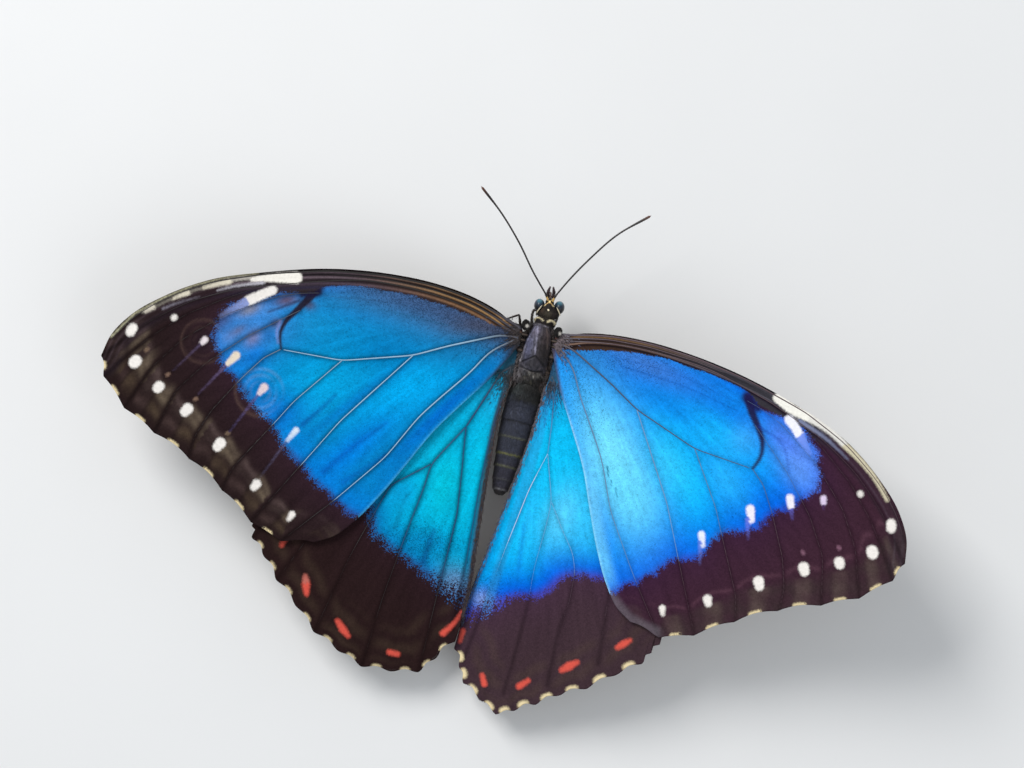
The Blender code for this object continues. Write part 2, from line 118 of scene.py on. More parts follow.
HIND_VEINS = {
    "left": [([(0.9, -0.6), (2.1, 0.4), (5.3, 9.2)], 0.24, 0.18),
        ([(5.3, 9.2), (4.8, 13.1), (4.5, 15.1), (3.7, 21.9), (3.9, 33), (4, 44.9)], 0.15, 0.08),
        ([(5.3, 9.2), (9, 15.5), (9.2, 18.9), (9.9, 23.6), (11.4, 35), (12.2, 45.9)], 0.17, 0.08),
        ([(9, 15.5), (11.8, 17.9), (14, 19.7), (17.4, 31), (19.9, 42.5)], 0.15, 0.08),
        ([(0.9, -0.6), (1.5, 8), (1.5, 16), (0.9, 28), (0.6, 38)], 0.16, 0.08),
        ([(2.1, 0.4), (7, 3), (13, 9.5), (20.5, 22), (26.7, 36.4)], 0.16, 0.08),
        ([(7, 3), (16, 7), (26, 20), (31.4, 31.3)], 0.15, 0.08)],
    "right": [([(0.9, -0.6), (1.6, 0.4), (2.5, 6.2), (2.9, 10.3)], 0.22, 0.16),
        ([(2.9, 10.3), (1.4, 15.8), (0, 24.7), (-0.9, 31.8), (-2.4, 42)], 0.14, 0.08),
        ([(2.9, 10.3), (5.1, 16.9), (5.1, 20.4), (4.8, 26.3), (5, 30.2), (5.1, 34.9),
          (4.6, 45.2)], 0.16, 0.08),
        ([(5.1, 16.9), (7.5, 20.3), (9.8, 23.2), (10.8, 25.8), (11, 30.1), (10.4, 34.3),
          (10.6, 42.5)], 0.14, 0.08),
        ([(1.6, 0.4), (8, 6), (13, 15), (16.2, 26), (17.2, 37.6)], 0.14, 0.08),
        ([(0.9, -0.6), (0.4, 9), (-0.9, 18), (-2.4, 28), (-4.2, 38.5)], 0.12, 0.08)]}
# Creases of the membrane, pressed down between the veins: flat places and depth.
FORE_FOLDS = [([(8, 6.5), (15, 15), (22, 26.5), (28.8, 35)], 0.2),
    ([(17, 9.5), (24, 18.5), (28.5, 26), (33.6, 32)], 0.12),
    ([(27.5, 11.5), (33.8, 16), (37.9, 24.8), (38.9, 28.6)], 0.12),
    ([(34, 8.8), (38.8, 12.6), (43.5, 21.1), (44.6, 25.8)], 0.1), ([(8, 0.8), (18, 1.6), (29, 3)], 0.08)]
HIND_FOLDS = {
    "left": [([(3.2, 6), (2.7, 20), (2.2, 42)], 0.2), ([(7.3, 15), (6.7, 28), (8, 45)], 0.16),
        ([(11.2, 20), (13.6, 32), (16, 43.6)], 0.12)],
    "right": [([(0.9, 12), (1.6, 28), (1, 43.6)], 0.16), ([(6.6, 22), (8.2, 32), (7.6, 43.8)], 0.14),
        ([(9.5, 19), (14, 30), (14.2, 40)], 0.12)]}

# The margin's dashes: half their length in vein spacings, and their half width.
DASHES = {"forewing_left": (0.1, 0.3), "forewing_right": (0.1, 0.34), "hindwing_left": (0.05, 0.24),
    "hindwing_right": (0.055, 0.46)}
# The outline of the blue on each wing.
FORE_BLUE = {
    "left": [(-2, -0.3), (1.4, -0.3), (6.8, -1.2), (12.1, -1.8), (17.5, -2), (22.7, -1.7), (27.6, -0.7),
        (30.2, 0.8), (33.5, 1.6), (37.6, 3.4), (41.2, 5.9), (42, 9.6), (40.2, 13.3), (37.8, 15.2),
        (34.6, 18.1), (31.4, 20.2), (29.4, 22.5), (27, 24.2), (24.3, 26.4), (21.6, 27.9), (18.8, 29.6),
        (15.8, 30.4), (12.6, 29.5), (6, 18), (0, 9), (-2.5, 3)],
    "right": [(-2, 0.6), (0.6, 0.9), (2.7, 0.6), (5.2, -0.1), (7.6, -0.9), (10.5, -1.7), (13.6, -2.2),
        (16.6, -2.4), (19.2, -2.2), (22.9, -1.9), (26.1, -1.5), (28.5, -0.8), (31, 1), (33.5, 1.4), (37, 2),
        (40.2, 4.2), (41.4, 6.8), (42.1, 9.2), (40.8, 11.4), (38.6, 13.7), (36.9, 15), (35.6, 17.2),
        (33.5, 18.6), (31.1, 19.4), (29.6, 21.6), (28.6, 23.5), (26.5, 24.6), (24.6, 25.8), (23, 27.8),
        (21, 29.6), (19, 31), (17.4, 32.2), (15, 31.5), (12.6, 29.5), (6, 18), (0, 9), (-2.5, 3)]}
HIND_BLUE = {
    "left": [(-1.5, -6), (6, -5), (15, 2), (19.5, 10), (19, 18), (16, 23.8), (14.7, 27), (11.5, 28.7),
        (7.4, 30.4), (3.5, 32.4), (0.6, 32.4), (-2.2, 33), (-2.5, 12)],
    "right": [(-2, -6), (6, -5), (14, 2), (19, 10), (19.5, 20), (16.5, 25.2), (13.5, 26), (10.9, 26.3),
        (9.1, 27.3), (7.4, 29.5), (5.5, 30.8), (2.8, 31.6), (0.2, 33.4), (-2, 34.5), (-6, 35), (-7, 15)]}

# The blues themselves: a first shade, soft patches (place, half sizes along and across, turn, shade,
# strength), and the shades that take over towards the border, with how many millimetres each reaches in.
# They hold painted sheen: each side's blues are painted as its shifting scales look at that side's slope,
# brighter and paler on the right and deeper teal on the left. The near-white cyan patches in the middle of
# the right wings are a painted reflection.
BLUES = {
    "forewing_left": {"first": "047EBE",
        "patches": [((26, 13.5), (9, 5), 42, "04A6E0", 0.85), ((17, 6.5), (8, 2.2), 10, "026CAC", 0.6),
            ((13.5, 11), (8, 3.6), 45, "02AEF2", 0.88), ((19.5, 21.5), (7, 2), 52, "0280E2", 0.85),
            ((21, 15), (9, 0.9), 50, "0470C0", 0.7), ((8, 13), (9, 1.1), 56, "0268C8", 0.88),
            ((29, 4.6), (5, 3), 5, "108CC4", 0.7), ((14, -1.6), (19, 3.5), -3, "405C88", 0.97),
            ((4, 0.2), (6.5, 2.4), 5, "4A4450", 0.9), ((8, 4), (5, 1.8), 30, "1470A8", 0.7),
            ((30.5, 18.5), (4, 3), 40, "0A66C8", 0.7), ((36.8, 7.6), (5.4, 3.6), 38, "3A82CE", 0.92),
            ((33.2, 2.65), (1.9, 0.85), 25, "605470", 0.95), ((38, 5.1), (1.8, 0.8), 34, "98949E", 0.75),
            ((35.4, 4.7), (1.1, 0.7), 25, "4C88CC", 0.6), ((36.6, 9), (0.9, 1.3), -25, "827EA2", 0.75),
            ((34.5, 8), (1, 0.9), 0, "1A60A8", 0.6), ((34, 6.2), (0.6, 0.8), -20, "5A5070", 0.65),
            ((35.8, 11.4), (2.2, 1.4), 45, "0870CC", 0.8), ((40, 9.6), (1, 1.2), -25, "5C80BC", 0.6),
            ((41.2, 7.4), (1.2, 1.9), -28, "464C74", 0.7), ((29.9, 2.6), (0.9, 0.7), 0, "48445C", 0.85),
            ((38.9, 8.4), (1.2, 0.6), 45, "6C6884", 0.6)],
        "border": [("0478E0", 3.8, 0.6), ("2C3478", 0.7, 0.7)]},
    "forewing_right": {"first": "0C96F0",
        "patches": [((15, 0.4), (17, 5.2), 4, "0A6CD4", 0.97), ((13, -0.6), (7, 2.2), 8, "4478C8", 0.7),
            ((4, 0.8), (5, 2.2), 5, "2068AC", 0.6), ((25.6, 6.4), (6.5, 2.6), 12, "14B2F6", 0.85),
            ((30, 5.8), (2.2, 2.2), 0, "3CA8F4", 0.6), ((17.6, 4.6), (5.5, 1.7), 12, "0476DC", 0.75),
            ((22.5, 12.8), (8, 3.4), 45, "10BEF8", 0.85), ((12.4, 13.8), (9.6, 4.2), 53, "74DEFD", 0.98),
            ((16.5, 18), (4.8, 3.4), 42, "64D6FC", 0.8), ((20.5, 12.5), (4, 2.2), 40, "38C4F6", 0.6),
            ((29, 12), (4, 2.4), 40, "28B0F6", 0.7), ((38, 6), (5, 2.6), 40, "6294F4", 0.9),
            ((36, 4.6), (3, 1), 30, "4470E0", 0.6), ((39, 8.4), (2.4, 1.6), 40, "5C96F2", 0.6)],
        "border": [("0262E0", 5.2, 0.97), ("3038A4", 0.7, 0.62)]},
    "hindwing_left": {"first": "02AEDC",
        "patches": [((10, 11), (6, 3.2), 50, "08AEDA", 0.9), ((6.5, 18), (3, 5.5), 0, "04C4DC", 0.85),
            ((2.6, 16), (1.6, 9), 0, "04C0E2", 0.8), ((2.6, 3), (3, 4), 0, "1CA4D8", 0.7),
            ((12.6, 20.5), (2.6, 2.2), 0, "08A0DC", 0.7), ((7, 26.5), (5, 2.2), 0, "0482BC", 0.8),
            ((1.8, 31.2), (2.4, 2), 0, "6C93C0", 0.8)],
        "border": [("0468B4", 3.2, 0.8), ("2A2E70", 0.8, 0.6)]},
    "hindwing_right": {"first": "0ABCF2",
        "patches": [((7, 18.6), (2.8, 4.2), 10, "54CCFB", 0.95),
            ((11.5, 18.5), (3, 4.5), 10, "38C0F8", 0.7), ((2, 12), (2.4, 7), 0, "0CBCF0", 0.8),
            ((2.3, 20), (1.2, 5), 0, "28B4F2", 0.6), ((1.5, 2), (2.5, 3), 0, "1C84C4", 0.7),
            ((-1.8, 32.8), (1.7, 1.3), 0, "86A4E4", 0.8)],
        "border": [("0050D8", 5, 0.98), ("4440A4", 0.8, 0.85)]}}
DARKS = {"forewing_left": ("251A1A", "32202A"), "forewing_right": ("3C2430", "3A2038"),
    "hindwing_left": ("281A1A", "2C1B22"), "hindwing_right": ("3E2E34", "442E40")}
# How ragged and how grainy the blue's border is.
EDGE = {"forewing_left": (1.2, 1), "forewing_right": (1.2, 0.8), "hindwing_left": (1.4, 1.6),
    "hindwing_right": (1.2, 1)}
# Shades of the veins: the pale ones and the dusky ones within the blue, and those in the dark.
VEIN_SHADES = {"forewing_left": ("8CB2CE", "2A2633", "15100F"),
    "forewing_right": ("7FB0E4", "2C4260", "453039"), "hindwing_left": ("1C7CB0", "023468", "140F10"),
    "hindwing_right": ("B8CCEE", "2478B8", "4C3A46")}
VEIN_PALE = {"forewing_left": (0, 0, 0, 0, 0.05, 0.1, 0.35, 0.8, 1, 1, 1),
    "forewing_right": (0, 0, 0, 0.3, 0.1, 0.1, 0.1, 0.3, 0.6, 0, 0.4),
    "hindwing_left": (0, 0, 0.1, 0, 0, 0, 0), "hindwing_right": (0.1, 1, 0.3, 0.4, 0.4, 0.2)}
VEIN_STOUT = {"forewing_left": 0.74, "forewing_right": 0.66, "hindwing_left": 0.75, "hindwing_right": 0.6}
# How much the blue beside each wing's veins is darkened: partly the veins' own dark edging and partly
# painted shade beside the raised veins.
VEIN_SIDE_SHADE = {"forewing_left": 0.62, "forewing_right": 0.25, "hindwing_left": 0.68, "hindwing_right": 0.3}

WHITE = "F0EBE6"
CREAM = "E8D6AA"
CORAL = "E05A4C"
# Light marks: flat places from end to end, half width at each end, shade, and strength at each end.
ROUND_SPOTS = [([(53.5, 11.4), (53.7, 12)], 0.66, 0.66, WHITE, 1, 1),
    ([(52, 15.8), (52.2, 16.1)], 0.8, 0.8, WHITE, 1, 1),
    ([(48, 18.6), (48.2, 18.9)], 0.72, 0.68, WHITE, 1, 1),
    ([(43.4, 20.8), (43.7, 21.3)], 0.78, 0.66, WHITE, 1, 1),
    ([(37.8, 24.5), (38.1, 25.1)], 0.78, 0.66, WHITE, 1, 1),
    ([(31.5, 29), (31.8, 29.6)], 0.64, 0.48, WHITE, 1, 1),
    ([(25.6, 32.1), (25.9, 32.9)], 0.46, 0.3, WHITE, 1, 0.9),
    ([(48.1, 8.6), (48.2, 8.7)], 0.42, 0.42, WHITE, 0.9, 0.9)]
FORE_MARKS = {"left": ROUND_SPOTS + [([(43.2, 10.7), (43.5, 11.2)], 0.46, 0.36, "E8DDE2", 1, 0.9),
        ([(38.4, 11.9), (39.3, 13.3)], 0.6, 0.36, "E6D8C4", 1, 0.95),
        ([(33.5, 15.4), (34, 16.4)], 0.58, 0.34, "E4D0D4", 1, 0.9),
        ([(27.7, 20.3), (28.6, 22)], 0.42, 0.24, "D8E4F4", 1, 0.8),
        ([(28.6, 22), (31.2, 27.9)], 0.16, 0.07, "5A5674", 0.9, 0.3),
        ([(39.3, 13.3), (42.4, 18.4)], 0.18, 0.07, "6A5C84", 0.9, 0.3),
        ([(34, 16.4), (37, 22.8)], 0.18, 0.07, "5C5484", 0.9, 0.3),
        ([(43.5, 11.2), (46.6, 16)], 0.14, 0.06, "5C5070", 0.8, 0.3),
        ([(50.8, 13.8), (51, 14.1)], 0.22, 0.22, "86705C", 0.75, 0.75),
        ([(47.1, 16.6), (47.3, 16.8)], 0.22, 0.22, "907464", 0.75, 0.75),
        ([(42.5, 19.1), (42.7, 19.3)], 0.24, 0.24, "8E7262", 0.75, 0.75),
        ([(37, 22.8), (37.2, 23)], 0.22, 0.22, "86705E", 0.75, 0.75),
        ([(32.6, -0.75), (35.4, -0.1), (38.6, 0.85)], 0.86, 0.34, "F2EEE6", 1, 1),
        ([(37, 1), (40.6, 2.3), (43, 3.5)], 0.2, 0.1, "C4C2CC", 0.9, 0.6),
        ([(38.2, 0.5), (41, 1.5), (43.2, 2.6)], 0.26, 0.16, "BEB8B0", 0.9, 0.8),
        ([(41.6, 1.9), (43.3, 2.7), (45, 3.6)], 0.36, 0.24, "E4DCC8", 0.95, 0.8),
        ([(45, 3.6), (47, 4.7), (52.6, 9)], 0.16, 0.12, "A8A296", 0.7, 0.5),
        ([(47, 4.8), (48.1, 5.5), (48.9, 6.1)], 0.34, 0.2, "E4DCC8", 0.95, 0.8),
        ([(51.4, 7.9), (52.4, 8.8)], 0.38, 0.24, "DCD4C4", 0.9, 0.8),
        ([(50, 7.8), (47.6, 6.2), (45.4, 5)], 0.14, 0.08, "8E8A98", 0.7, 0.3),
        ([(38, -0.2), (44.6, 2.5), (50.4, 6.4), (54.4, 10.2),
          (56.2, 13.3)], 0.09, 0.09, "C8C4A4", 0.5, 0.9),
        ([(35.4, 1.7), (36.8, 2.7), (38.4, 3.9)], 0.62, 0.7, WHITE, 1, 0.95),
        ([(38.4, 3.9), (40.2, 5.5), (41.7, 6.9)], 0.66, 0.36, "96A4DC", 0.85, 0.2)],
    "right": ROUND_SPOTS + [([(43.3, 10.7), (43.5, 11.3)], 0.44, 0.4, "E0D0EE", 1, 0.9),
        ([(38.7, 12), (39.2, 13.1)], 0.56, 0.46, "F0ECF8", 1, 1),
        ([(33.7, 15.1), (34.3, 16.5)], 0.62, 0.46, "F0ECF8", 1, 1),
        ([(28, 20.5), (28.6, 21.9)], 0.5, 0.36, "E8ECFC", 1, 0.9),
        ([(28.2, 21.6), (29, 24.6)], 0.34, 0.12, "6C84E0", 0.9, 0.2),
        ([(39.1, 12.9), (39.9, 14.8)], 0.36, 0.14, "6C70D8", 0.8, 0.2),
        ([(33.8, 16.6), (34.6, 19.2)], 0.36, 0.14, "6C78E0", 0.9, 0.2),
        ([(43.2, 11), (43.8, 12.2)], 0.2, 0.08, "6C509C", 0.7, 0.2),
        ([(33.2, -1.2), (35.2, -0.2), (38, 0.35)], 0.9, 0.7, "F2F0E8", 1, 1),
        ([(37.8, 0.3), (41.2, 1.2), (44.2, 2.8)], 0.68, 0.46, "E2E0DA", 1, 0.95),
        ([(37, 1.3), (41, 2.5), (45, 4.5)], 0.32, 0.12, "8088A8", 0.85, 0.5),
        ([(44, 2.7), (47.2, 4.4), (49.4, 5.9), (52, 8.4)], 0.46, 0.28, "D4CCB0", 0.95, 0.85),
        ([(42.6, 18.7), (42.8, 18.9)], 0.26, 0.26, "8C6478", 0.7, 0.7),
        ([(47.3, 16.6), (47.5, 16.8)], 0.26, 0.26, "8C6478", 0.7, 0.7),
        ([(35.4, 1.5), (36.4, 2.2), (37.6, 3.3)], 0.66, 0.6, "F0F0FA", 1, 1),
        ([(37.6, 3.3), (39.6, 5.2)], 0.62, 0.3, "7C98F0", 0.9, 0.3)]}
HIND_MARKS = {
    "left": [([(27, 30.6), (27.2, 31.6)], 0.4, 0.3, CORAL, 0.6, 0.6),
        ([(22.9, 35.2), (22.6, 36.2)], 0.36, 0.56, "C87064", 0.8, 0.95),
        ([(22.6, 36.2), (22.2, 37.6)], 0.58, 0.34, CORAL, 0.95, 0.9),
        ([(17, 40.4), (16, 41.4)], 0.34, 0.52, CORAL, 0.85, 0.95),
        ([(16, 41.4), (15, 42.2)], 0.52, 0.3, CORAL, 0.95, 0.85),
        ([(8.7, 43.2), (7.5, 43.2)], 0.4, 0.36, CORAL, 0.9, 0.85),
        ([(1.8, 38.8), (0.5, 36.9), (-0.1, 35.2)], 0.44, 0.16, CORAL, 0.9, 0.7)],
    "right": [([(-3.4, 37.9), (-3.5, 39.5)], 0.34, 0.24, CORAL, 0.85, 0.8),
        ([(0.9, 43.5), (1.5, 44.6)], 0.36, 0.42, CORAL, 0.85, 0.95),
        ([(6.6, 43.7), (7.7, 42.6)], 0.44, 0.36, CORAL, 0.95, 0.85),
        ([(12.2, 39.9), (13.1, 39.1)], 0.4, 0.6, CORAL, 0.85, 0.95),
        ([(13.1, 39.1), (14.1, 38.3)], 0.6, 0.36, CORAL, 0.95, 0.85),
        ([(19.4, 34.8), (20.1, 34.1)], 0.36, 0.5, CORAL, 0.85, 0.95),
        ([(20.1, 34.1), (20.9, 33.4)], 0.5, 0.3, CORAL, 0.95, 0.8)]}
# Dark marks within the blue, and painted shade along some creases of the membrane: flat places, half width
# at each end, softness, shade and strength.
FORE_DARK_MARKS_AND_CREASE_SHADE = {
    "left": [([(29.4, 0.4), (30.3, 1.9), (31.6, 3.9), (32.7, 5.8), (33, 7.4),
          (32.4, 9.5)], 0.6, 0.14, 0.16, "241820", 0.95),
        ([(29.4, 0.3), (31.2, 1.4)], 1, 0.5, 0.5, "1E1A34", 0.95),
        ([(31.4, 2.3), (35.4, 4.9)], 0.2, 0.1, 0.2, "2A2038", 0.7),
        ([(33.4, 5.8), (33.5, 7.4), (33, 8.8)], 0.2, 0.1, 0.25, "8C8CC4", 0.6),
        ([(27, 19.3), (24.6, 16), (23.4, 14.2)], 0.34, 0.1, 0.5, "08388C", 0.7),
        ([(22.6, 25.2), (19, 20.4), (15.4, 16.4)], 0.3, 0.1, 0.6, "0640A0", 0.6),
        ([(19.5, 26), (14.6, 21)], 0.3, 0.1, 0.6, "0640A0", 0.5),
        ([(10, 0.9), (20, 1), (28.6, 2.4)], 0.06, 0.05, 0.14, "1C5C84", 0.5),
        ([(8, 0.1), (18, -0.4), (28, 0.8)], 0.06, 0.05, 0.14, "2A4A70", 0.6)],
    "right": [([(28.9, 0.3), (30, 2), (31.6, 3.9), (32.8, 6), (33, 7.6),
          (32.4, 9.5)], 0.62, 0.2, 0.16, "20183A", 0.95),
        ([(28.9, 0), (30.6, 1.2)], 0.95, 0.6, 0.5, "1C1A48", 0.95),
        ([(31.6, 3.6), (35.6, 5.2), (37.6, 8.6)], 0.16, 0.08, 0.22, "1C3C9C", 0.6),
        ([(12.1, 15.2), (12.7, 16.6)], 0.12, 0.05, 0.08, "045C84", 0.9),
        ([(13.2, 16.9), (13.5, 17.6)], 0.09, 0.05, 0.08, "045C84", 0.9),
        ([(14.1, 17.7), (14.8, 18.9)], 0.1, 0.05, 0.08, "045C84", 0.9),
        ([(11.6, 15.9), (12, 16.5)], 0.07, 0.04, 0.08, "045C84", 0.8),
        ([(10, 0.9), (20, 1.2), (28, 2.4)], 0.06, 0.05, 0.14, "0A50A8", 0.6),
        ([(8, 0), (18, -0.2), (27, 1.2)], 0.06, 0.05, 0.14, "0A50A8", 0.5)]}
# Dark specks: an even share, then soft patches with more of them.
DUST = {"forewing_left": (0.012, [((13, -1.4), (16, 2.2), -4, 0.5), ((3, 1), (5, 3), 0, 0.4)]),
    "forewing_right": (0.006, [((9, -0.7), (9, 2.2), 0, 0.3), ((5, 6), (6, 2.6), 52, 0.22)]),
    "hindwing_left": (0.01, [((7, 27), (5, 3), 0, 0.4), ((1.4, 31), (2.6, 3), 0, 0.5)]),
    "hindwing_right": (0.004, [((-1.8, 33), (2.6, 3), 0, 0.5), ((2, 2), (3, 3), 0, 0.2)])}
# The underside's eyespots, faint from above: middle, radius, shade within, strength.
FORE_RINGS = {"left": [((33.9, 16.1), 3.3, "10408C", 0.5), ((43.4, 11), 2.9, "17101A", 0.34)], "right": []}
# Painted shade along the hindwings' creases: flat places, half width at each end, softness, shade and
# strength.
HIND_CREASE_SHADE = {
    "left": [([(6.9, 29.4), (6.7, 27), (6.4, 24.6)], 0.5, 0.15, 0.5, "08447E", 0.7),
        ([(12, 25.5), (11.4, 20.5)], 0.25, 0.1, 0.5, "0A6890", 0.5)],
    "right": [([(2.6, 27.5), (1.9, 21)], 0.3, 0.1, 0.5, "0A7CE0", 0.5)]}
MARGIN_VEINS = (2, 3, 4, 5, 6, 7, 8, 10)  # the forewing's veins as they reach the margin, in order

# Rows of dusky scales in the left forewing's border: place, half width, strength, and a shade for each half.
DUSKY_ROWS = [(0.5, 0.2, 0.6, "4C3C3A", "544638"), (0.98, 0.17, 0.65, "403432", "746656"),
    (1.28, 0.15, 0.65, "5C4C4A", "706254")]
# Stripes behind the forewing's front edge: distance from it, half width, shade near the root, shade further
# out, and strength.
COSTAL_STRIPES = {
    "left": [(0.12, 0.16, "100C0A", "0E0B0D", 1), (0.5, 0.12, "BC9468", "6A5C66", 0.75),
        (0.85, 0.12, "1E1613", "1A161C", 0.85), (1.2, 0.15, "C49A68", "74646E", 0.75),
        (1.6, 0.13, "3A2820", "2A2228", 0.7), (2.05, 0.18, "9A7454", "5C4E5E", 0.7),
        (2.6, 0.26, "2A2020", "2E2A40", 0.7)],
    "right": [(0.12, 0.18, "0C0A0A", "101014", 1), (0.75, 0.3, "8C6E4C", "5C5A64", 0.75),
        (1.45, 0.35, "2A2224", "35353C", 0.8), (2.15, 0.16, "A08272", "6C6874", 0.8),
        (2.65, 0.3, "161014", "201828", 0.9)]}

# The underside's ringed eyespots (place and radius), and each ring's outer edge as a share of the radius.
UNDER_EYES = {"forewing": [((43, 9.6), 2.4), ((38.6, 13), 2.7), ((33.9, 16), 3.3)],
    "hindwing": [((23, 20.5), 4), ((15.5, 33), 2.6), ((9.6, 35.5), 3), ((3.8, 35.2), 2.4)]}

EYE_RINGS = [(1, "D2BE92"), (0.86, "2A1A14"), (0.72, "C79A44"), (0.5, "17100F"), (0.14, "E8E6EA")]
# Bands along the underside's margin: distance from it, half width, shade and strength.
UNDER_BANDS = [(0.9, 0.3, "B79C74", 0.7), (2.2, 0.45, "C8B48C", 0.8), (4, 0.7, "8A7458", 0.5),
    (9.5, 0.8, "C2AE88", 0.6)]

# The body: (y, x, z, half width, half height) of each cross section, from the face to the tail.
BODY_RINGS = [(-7.85, -0.34, 7.75, 0, 0), (-7.76, -0.34, 7.75, 0.36, 0.46), (-7.4, -0.34, 7.86, 0.54, 0.88),
    (-6.95, -0.35, 7.94, 0.62, 1.14), (-6.6, -0.35, 7.95, 0.84, 1.26), (-6.3, -0.35, 7.93, 1.16, 1.3),
    (-5.95, -0.35, 7.9, 1.38, 1.26), (-5.6, -0.35, 7.86, 1.48, 1.14), (-5.3, -0.33, 7.76, 1.42, 1.02),
    (-5.02, -0.28, 7.62, 1.14, 0.88), (-4.8, -0.25, 7.55, 1.26, 0.98), (-4.45, -0.22, 7.5, 1.5, 1.2),
    (-4.05, -0.1, 7.45, 1.28, 1.22), (-3.6, 0, 7.4, 1.46, 1.5), (-2.9, 0, 7.3, 1.82, 1.98),
    (-1.8, 0, 7.18, 2.12, 2.4), (-0.6, 0, 7.07, 2.28, 2.6), (1.2, 0.04, 7, 2.38, 2.66),
    (3.2, 0.1, 6.9, 2.22, 2.3), (4.3, 0.15, 6.8, 1.76, 1.74), (4.8, 0.16, 6.65, 1.78, 1.66),
    (5.6, 0.2, 6.52, 2.04, 1.88), (6.6, 0.24, 6.4, 2.18, 2), (8.4, 0.35, 6.2, 2.3, 2.04),
    (11.5, 0.45, 5.9, 2.22, 1.98), (14.6, 0.5, 5.6, 1.95, 1.8), (17.4, 0.55, 5.3, 1.62, 1.5),
    (19.8, 0.6, 5.1, 1.24, 1.14), (21, 0.6, 5, 0.72, 0.66), (21.35, 0.6, 5, 0, 0)]
# Gold and cream lines on the crown, from the head's middle, and cream lines on the collar.
CROWN_LINES = [([(0.7, -0.4), (0.34, -0.68), (0.04, -0.96)], 0.06, "D6B070"),
    ([(-0.52, -0.44), (-0.22, -0.7), (0.04, -0.96)], 0.06, "D6B070"),
    ([(0.04, -0.96), (0.22, -1.2), (0.34, -1.42)], 0.07, "E6CE98"),
    ([(0.04, -0.96), (-0.26, -1.3), (-0.42, -1.55)], 0.07, "E6CE98"),
    ([(0.05, -1.02), (0.03, -0.88)], 0.13, "F4DC9C"), ([(0.72, -0.36), (0.6, -0.46)], 0.12, "F0DDAE"),
    ([(-0.56, -0.4), (-0.46, -0.5)], 0.12, "F0DDAE")]
COLLAR_LINES = [([(1.26, -4.36), (1.12, -4.66), (0.6, -4.8), (0.04, -4.56)], 0.12),
    ([(-0.56, -4.56), (-0.94, -4.8), (-1.3, -4.74), (-1.8, -4.34)], 0.15)]
# The body's shades from face to tail: from which y, how softly, the shade below and the shade on top. On the
# thorax the lighter, bluer top is partly its own grey-blue hair and partly painted sheen.
BODY_ZONES = [(-5.1, 0.3, "1E1816", "231B1A"), (-3.9, 0.3, "2E2A2C", "3C3A42"),
    (2.9, 0.5, "2E2926", "3C3838"), (4.4, 0.6, "241F1E", "2A2B2A"), (7.2, 0.8, "423C3A", "363A49"),
    (16, 2.5, "423C3A", "323240"), (20.2, 0.4, "332E2E", "272327")]
# Bands at the hind edges of the abdomen's segments: y, shade and strength.
SEGMENT_EDGES = [(10.5, "100F15", 0.9), (12.8, "64664E", 0.7), (15.3, "828248", 0.85),
    (17.1, "6C6E52", 0.8), (19, "505052", 0.7), (20.5, "7E7E84", 0.8)]
# Soft patches on the body: middle, half sizes, shade and strength. Several are painted light: the lighter
# blue-grey patches on the shield's left half and front-left shoulder and the pale one low on the left flank
# are painted highlight on the side the key lamp lights, and the dark patches on the shield's right half are
# partly painted shade.
BODY_PATCHES = [((-0.95, -1.3, 9.2), (1, 2.6, 1.8), "30282A", 0.9),
    ((1.25, -0.6, 9.2), (0.62, 2, 1.6), "5A5C78", 0.9), ((0.8, -2.7, 9), (0.8, 1, 1.6), "6E687C", 0.85),
    ((-1.1, -2.4, 9), (0.9, 1.3, 1.6), "44383A", 0.7), ((-1.3, 0.3, 9.2), (1.1, 1.6, 1.8), "221C1B", 0.92),
    ((0.3, 1.9, 9.5), (1.2, 0.5, 1.2), "2A282E", 0.9), ((2.15, 0.9, 8.2), (0.3, 1.1, 1.5), "A8A2A8", 0.75),
    ((1.7, 3.6, 8.2), (0.7, 0.8, 1.2), "7A7478", 0.7), ((-0.6, 3.7, 8.4), (1.2, 0.6, 1.2), "4C4744", 0.7),
    ((1.3, 5.6, 8), (0.8, 0.6, 1.2), "454E4E", 0.8), ((2, 6.7, 7.6), (0.8, 0.6, 1.2), "485062", 0.6),
    ((0.4, 4.55, 8), (1.7, 0.36, 1.4), "100C0B", 0.95), ((-0.9, 5.5, 8), (1.5, 0.7, 1.4), "1C1A1A", 0.8),
    ((0.4, 6.9, 8.3), (1.8, 0.22, 1.2), "1C1A1C", 0.7), ((0.5, 6.1, 8.3), (1.4, 0.4, 1.2), "3C4044", 0.6),
    ((-0.4, -5.5, 9), (0.8, 0.5, 0.7), "5E5647", 0.85), ((0.6, -5.9, 8.8), (0.5, 0.5, 0.7), "57463A", 0.7),
    ((-1.2, -5.6, 8.7), (0.4, 0.5, 0.7), "35282A", 0.7),
    ((-0.3, -6.2, 9.2), (0.3, 0.3, 0.6), "140D0B", 0.8)]
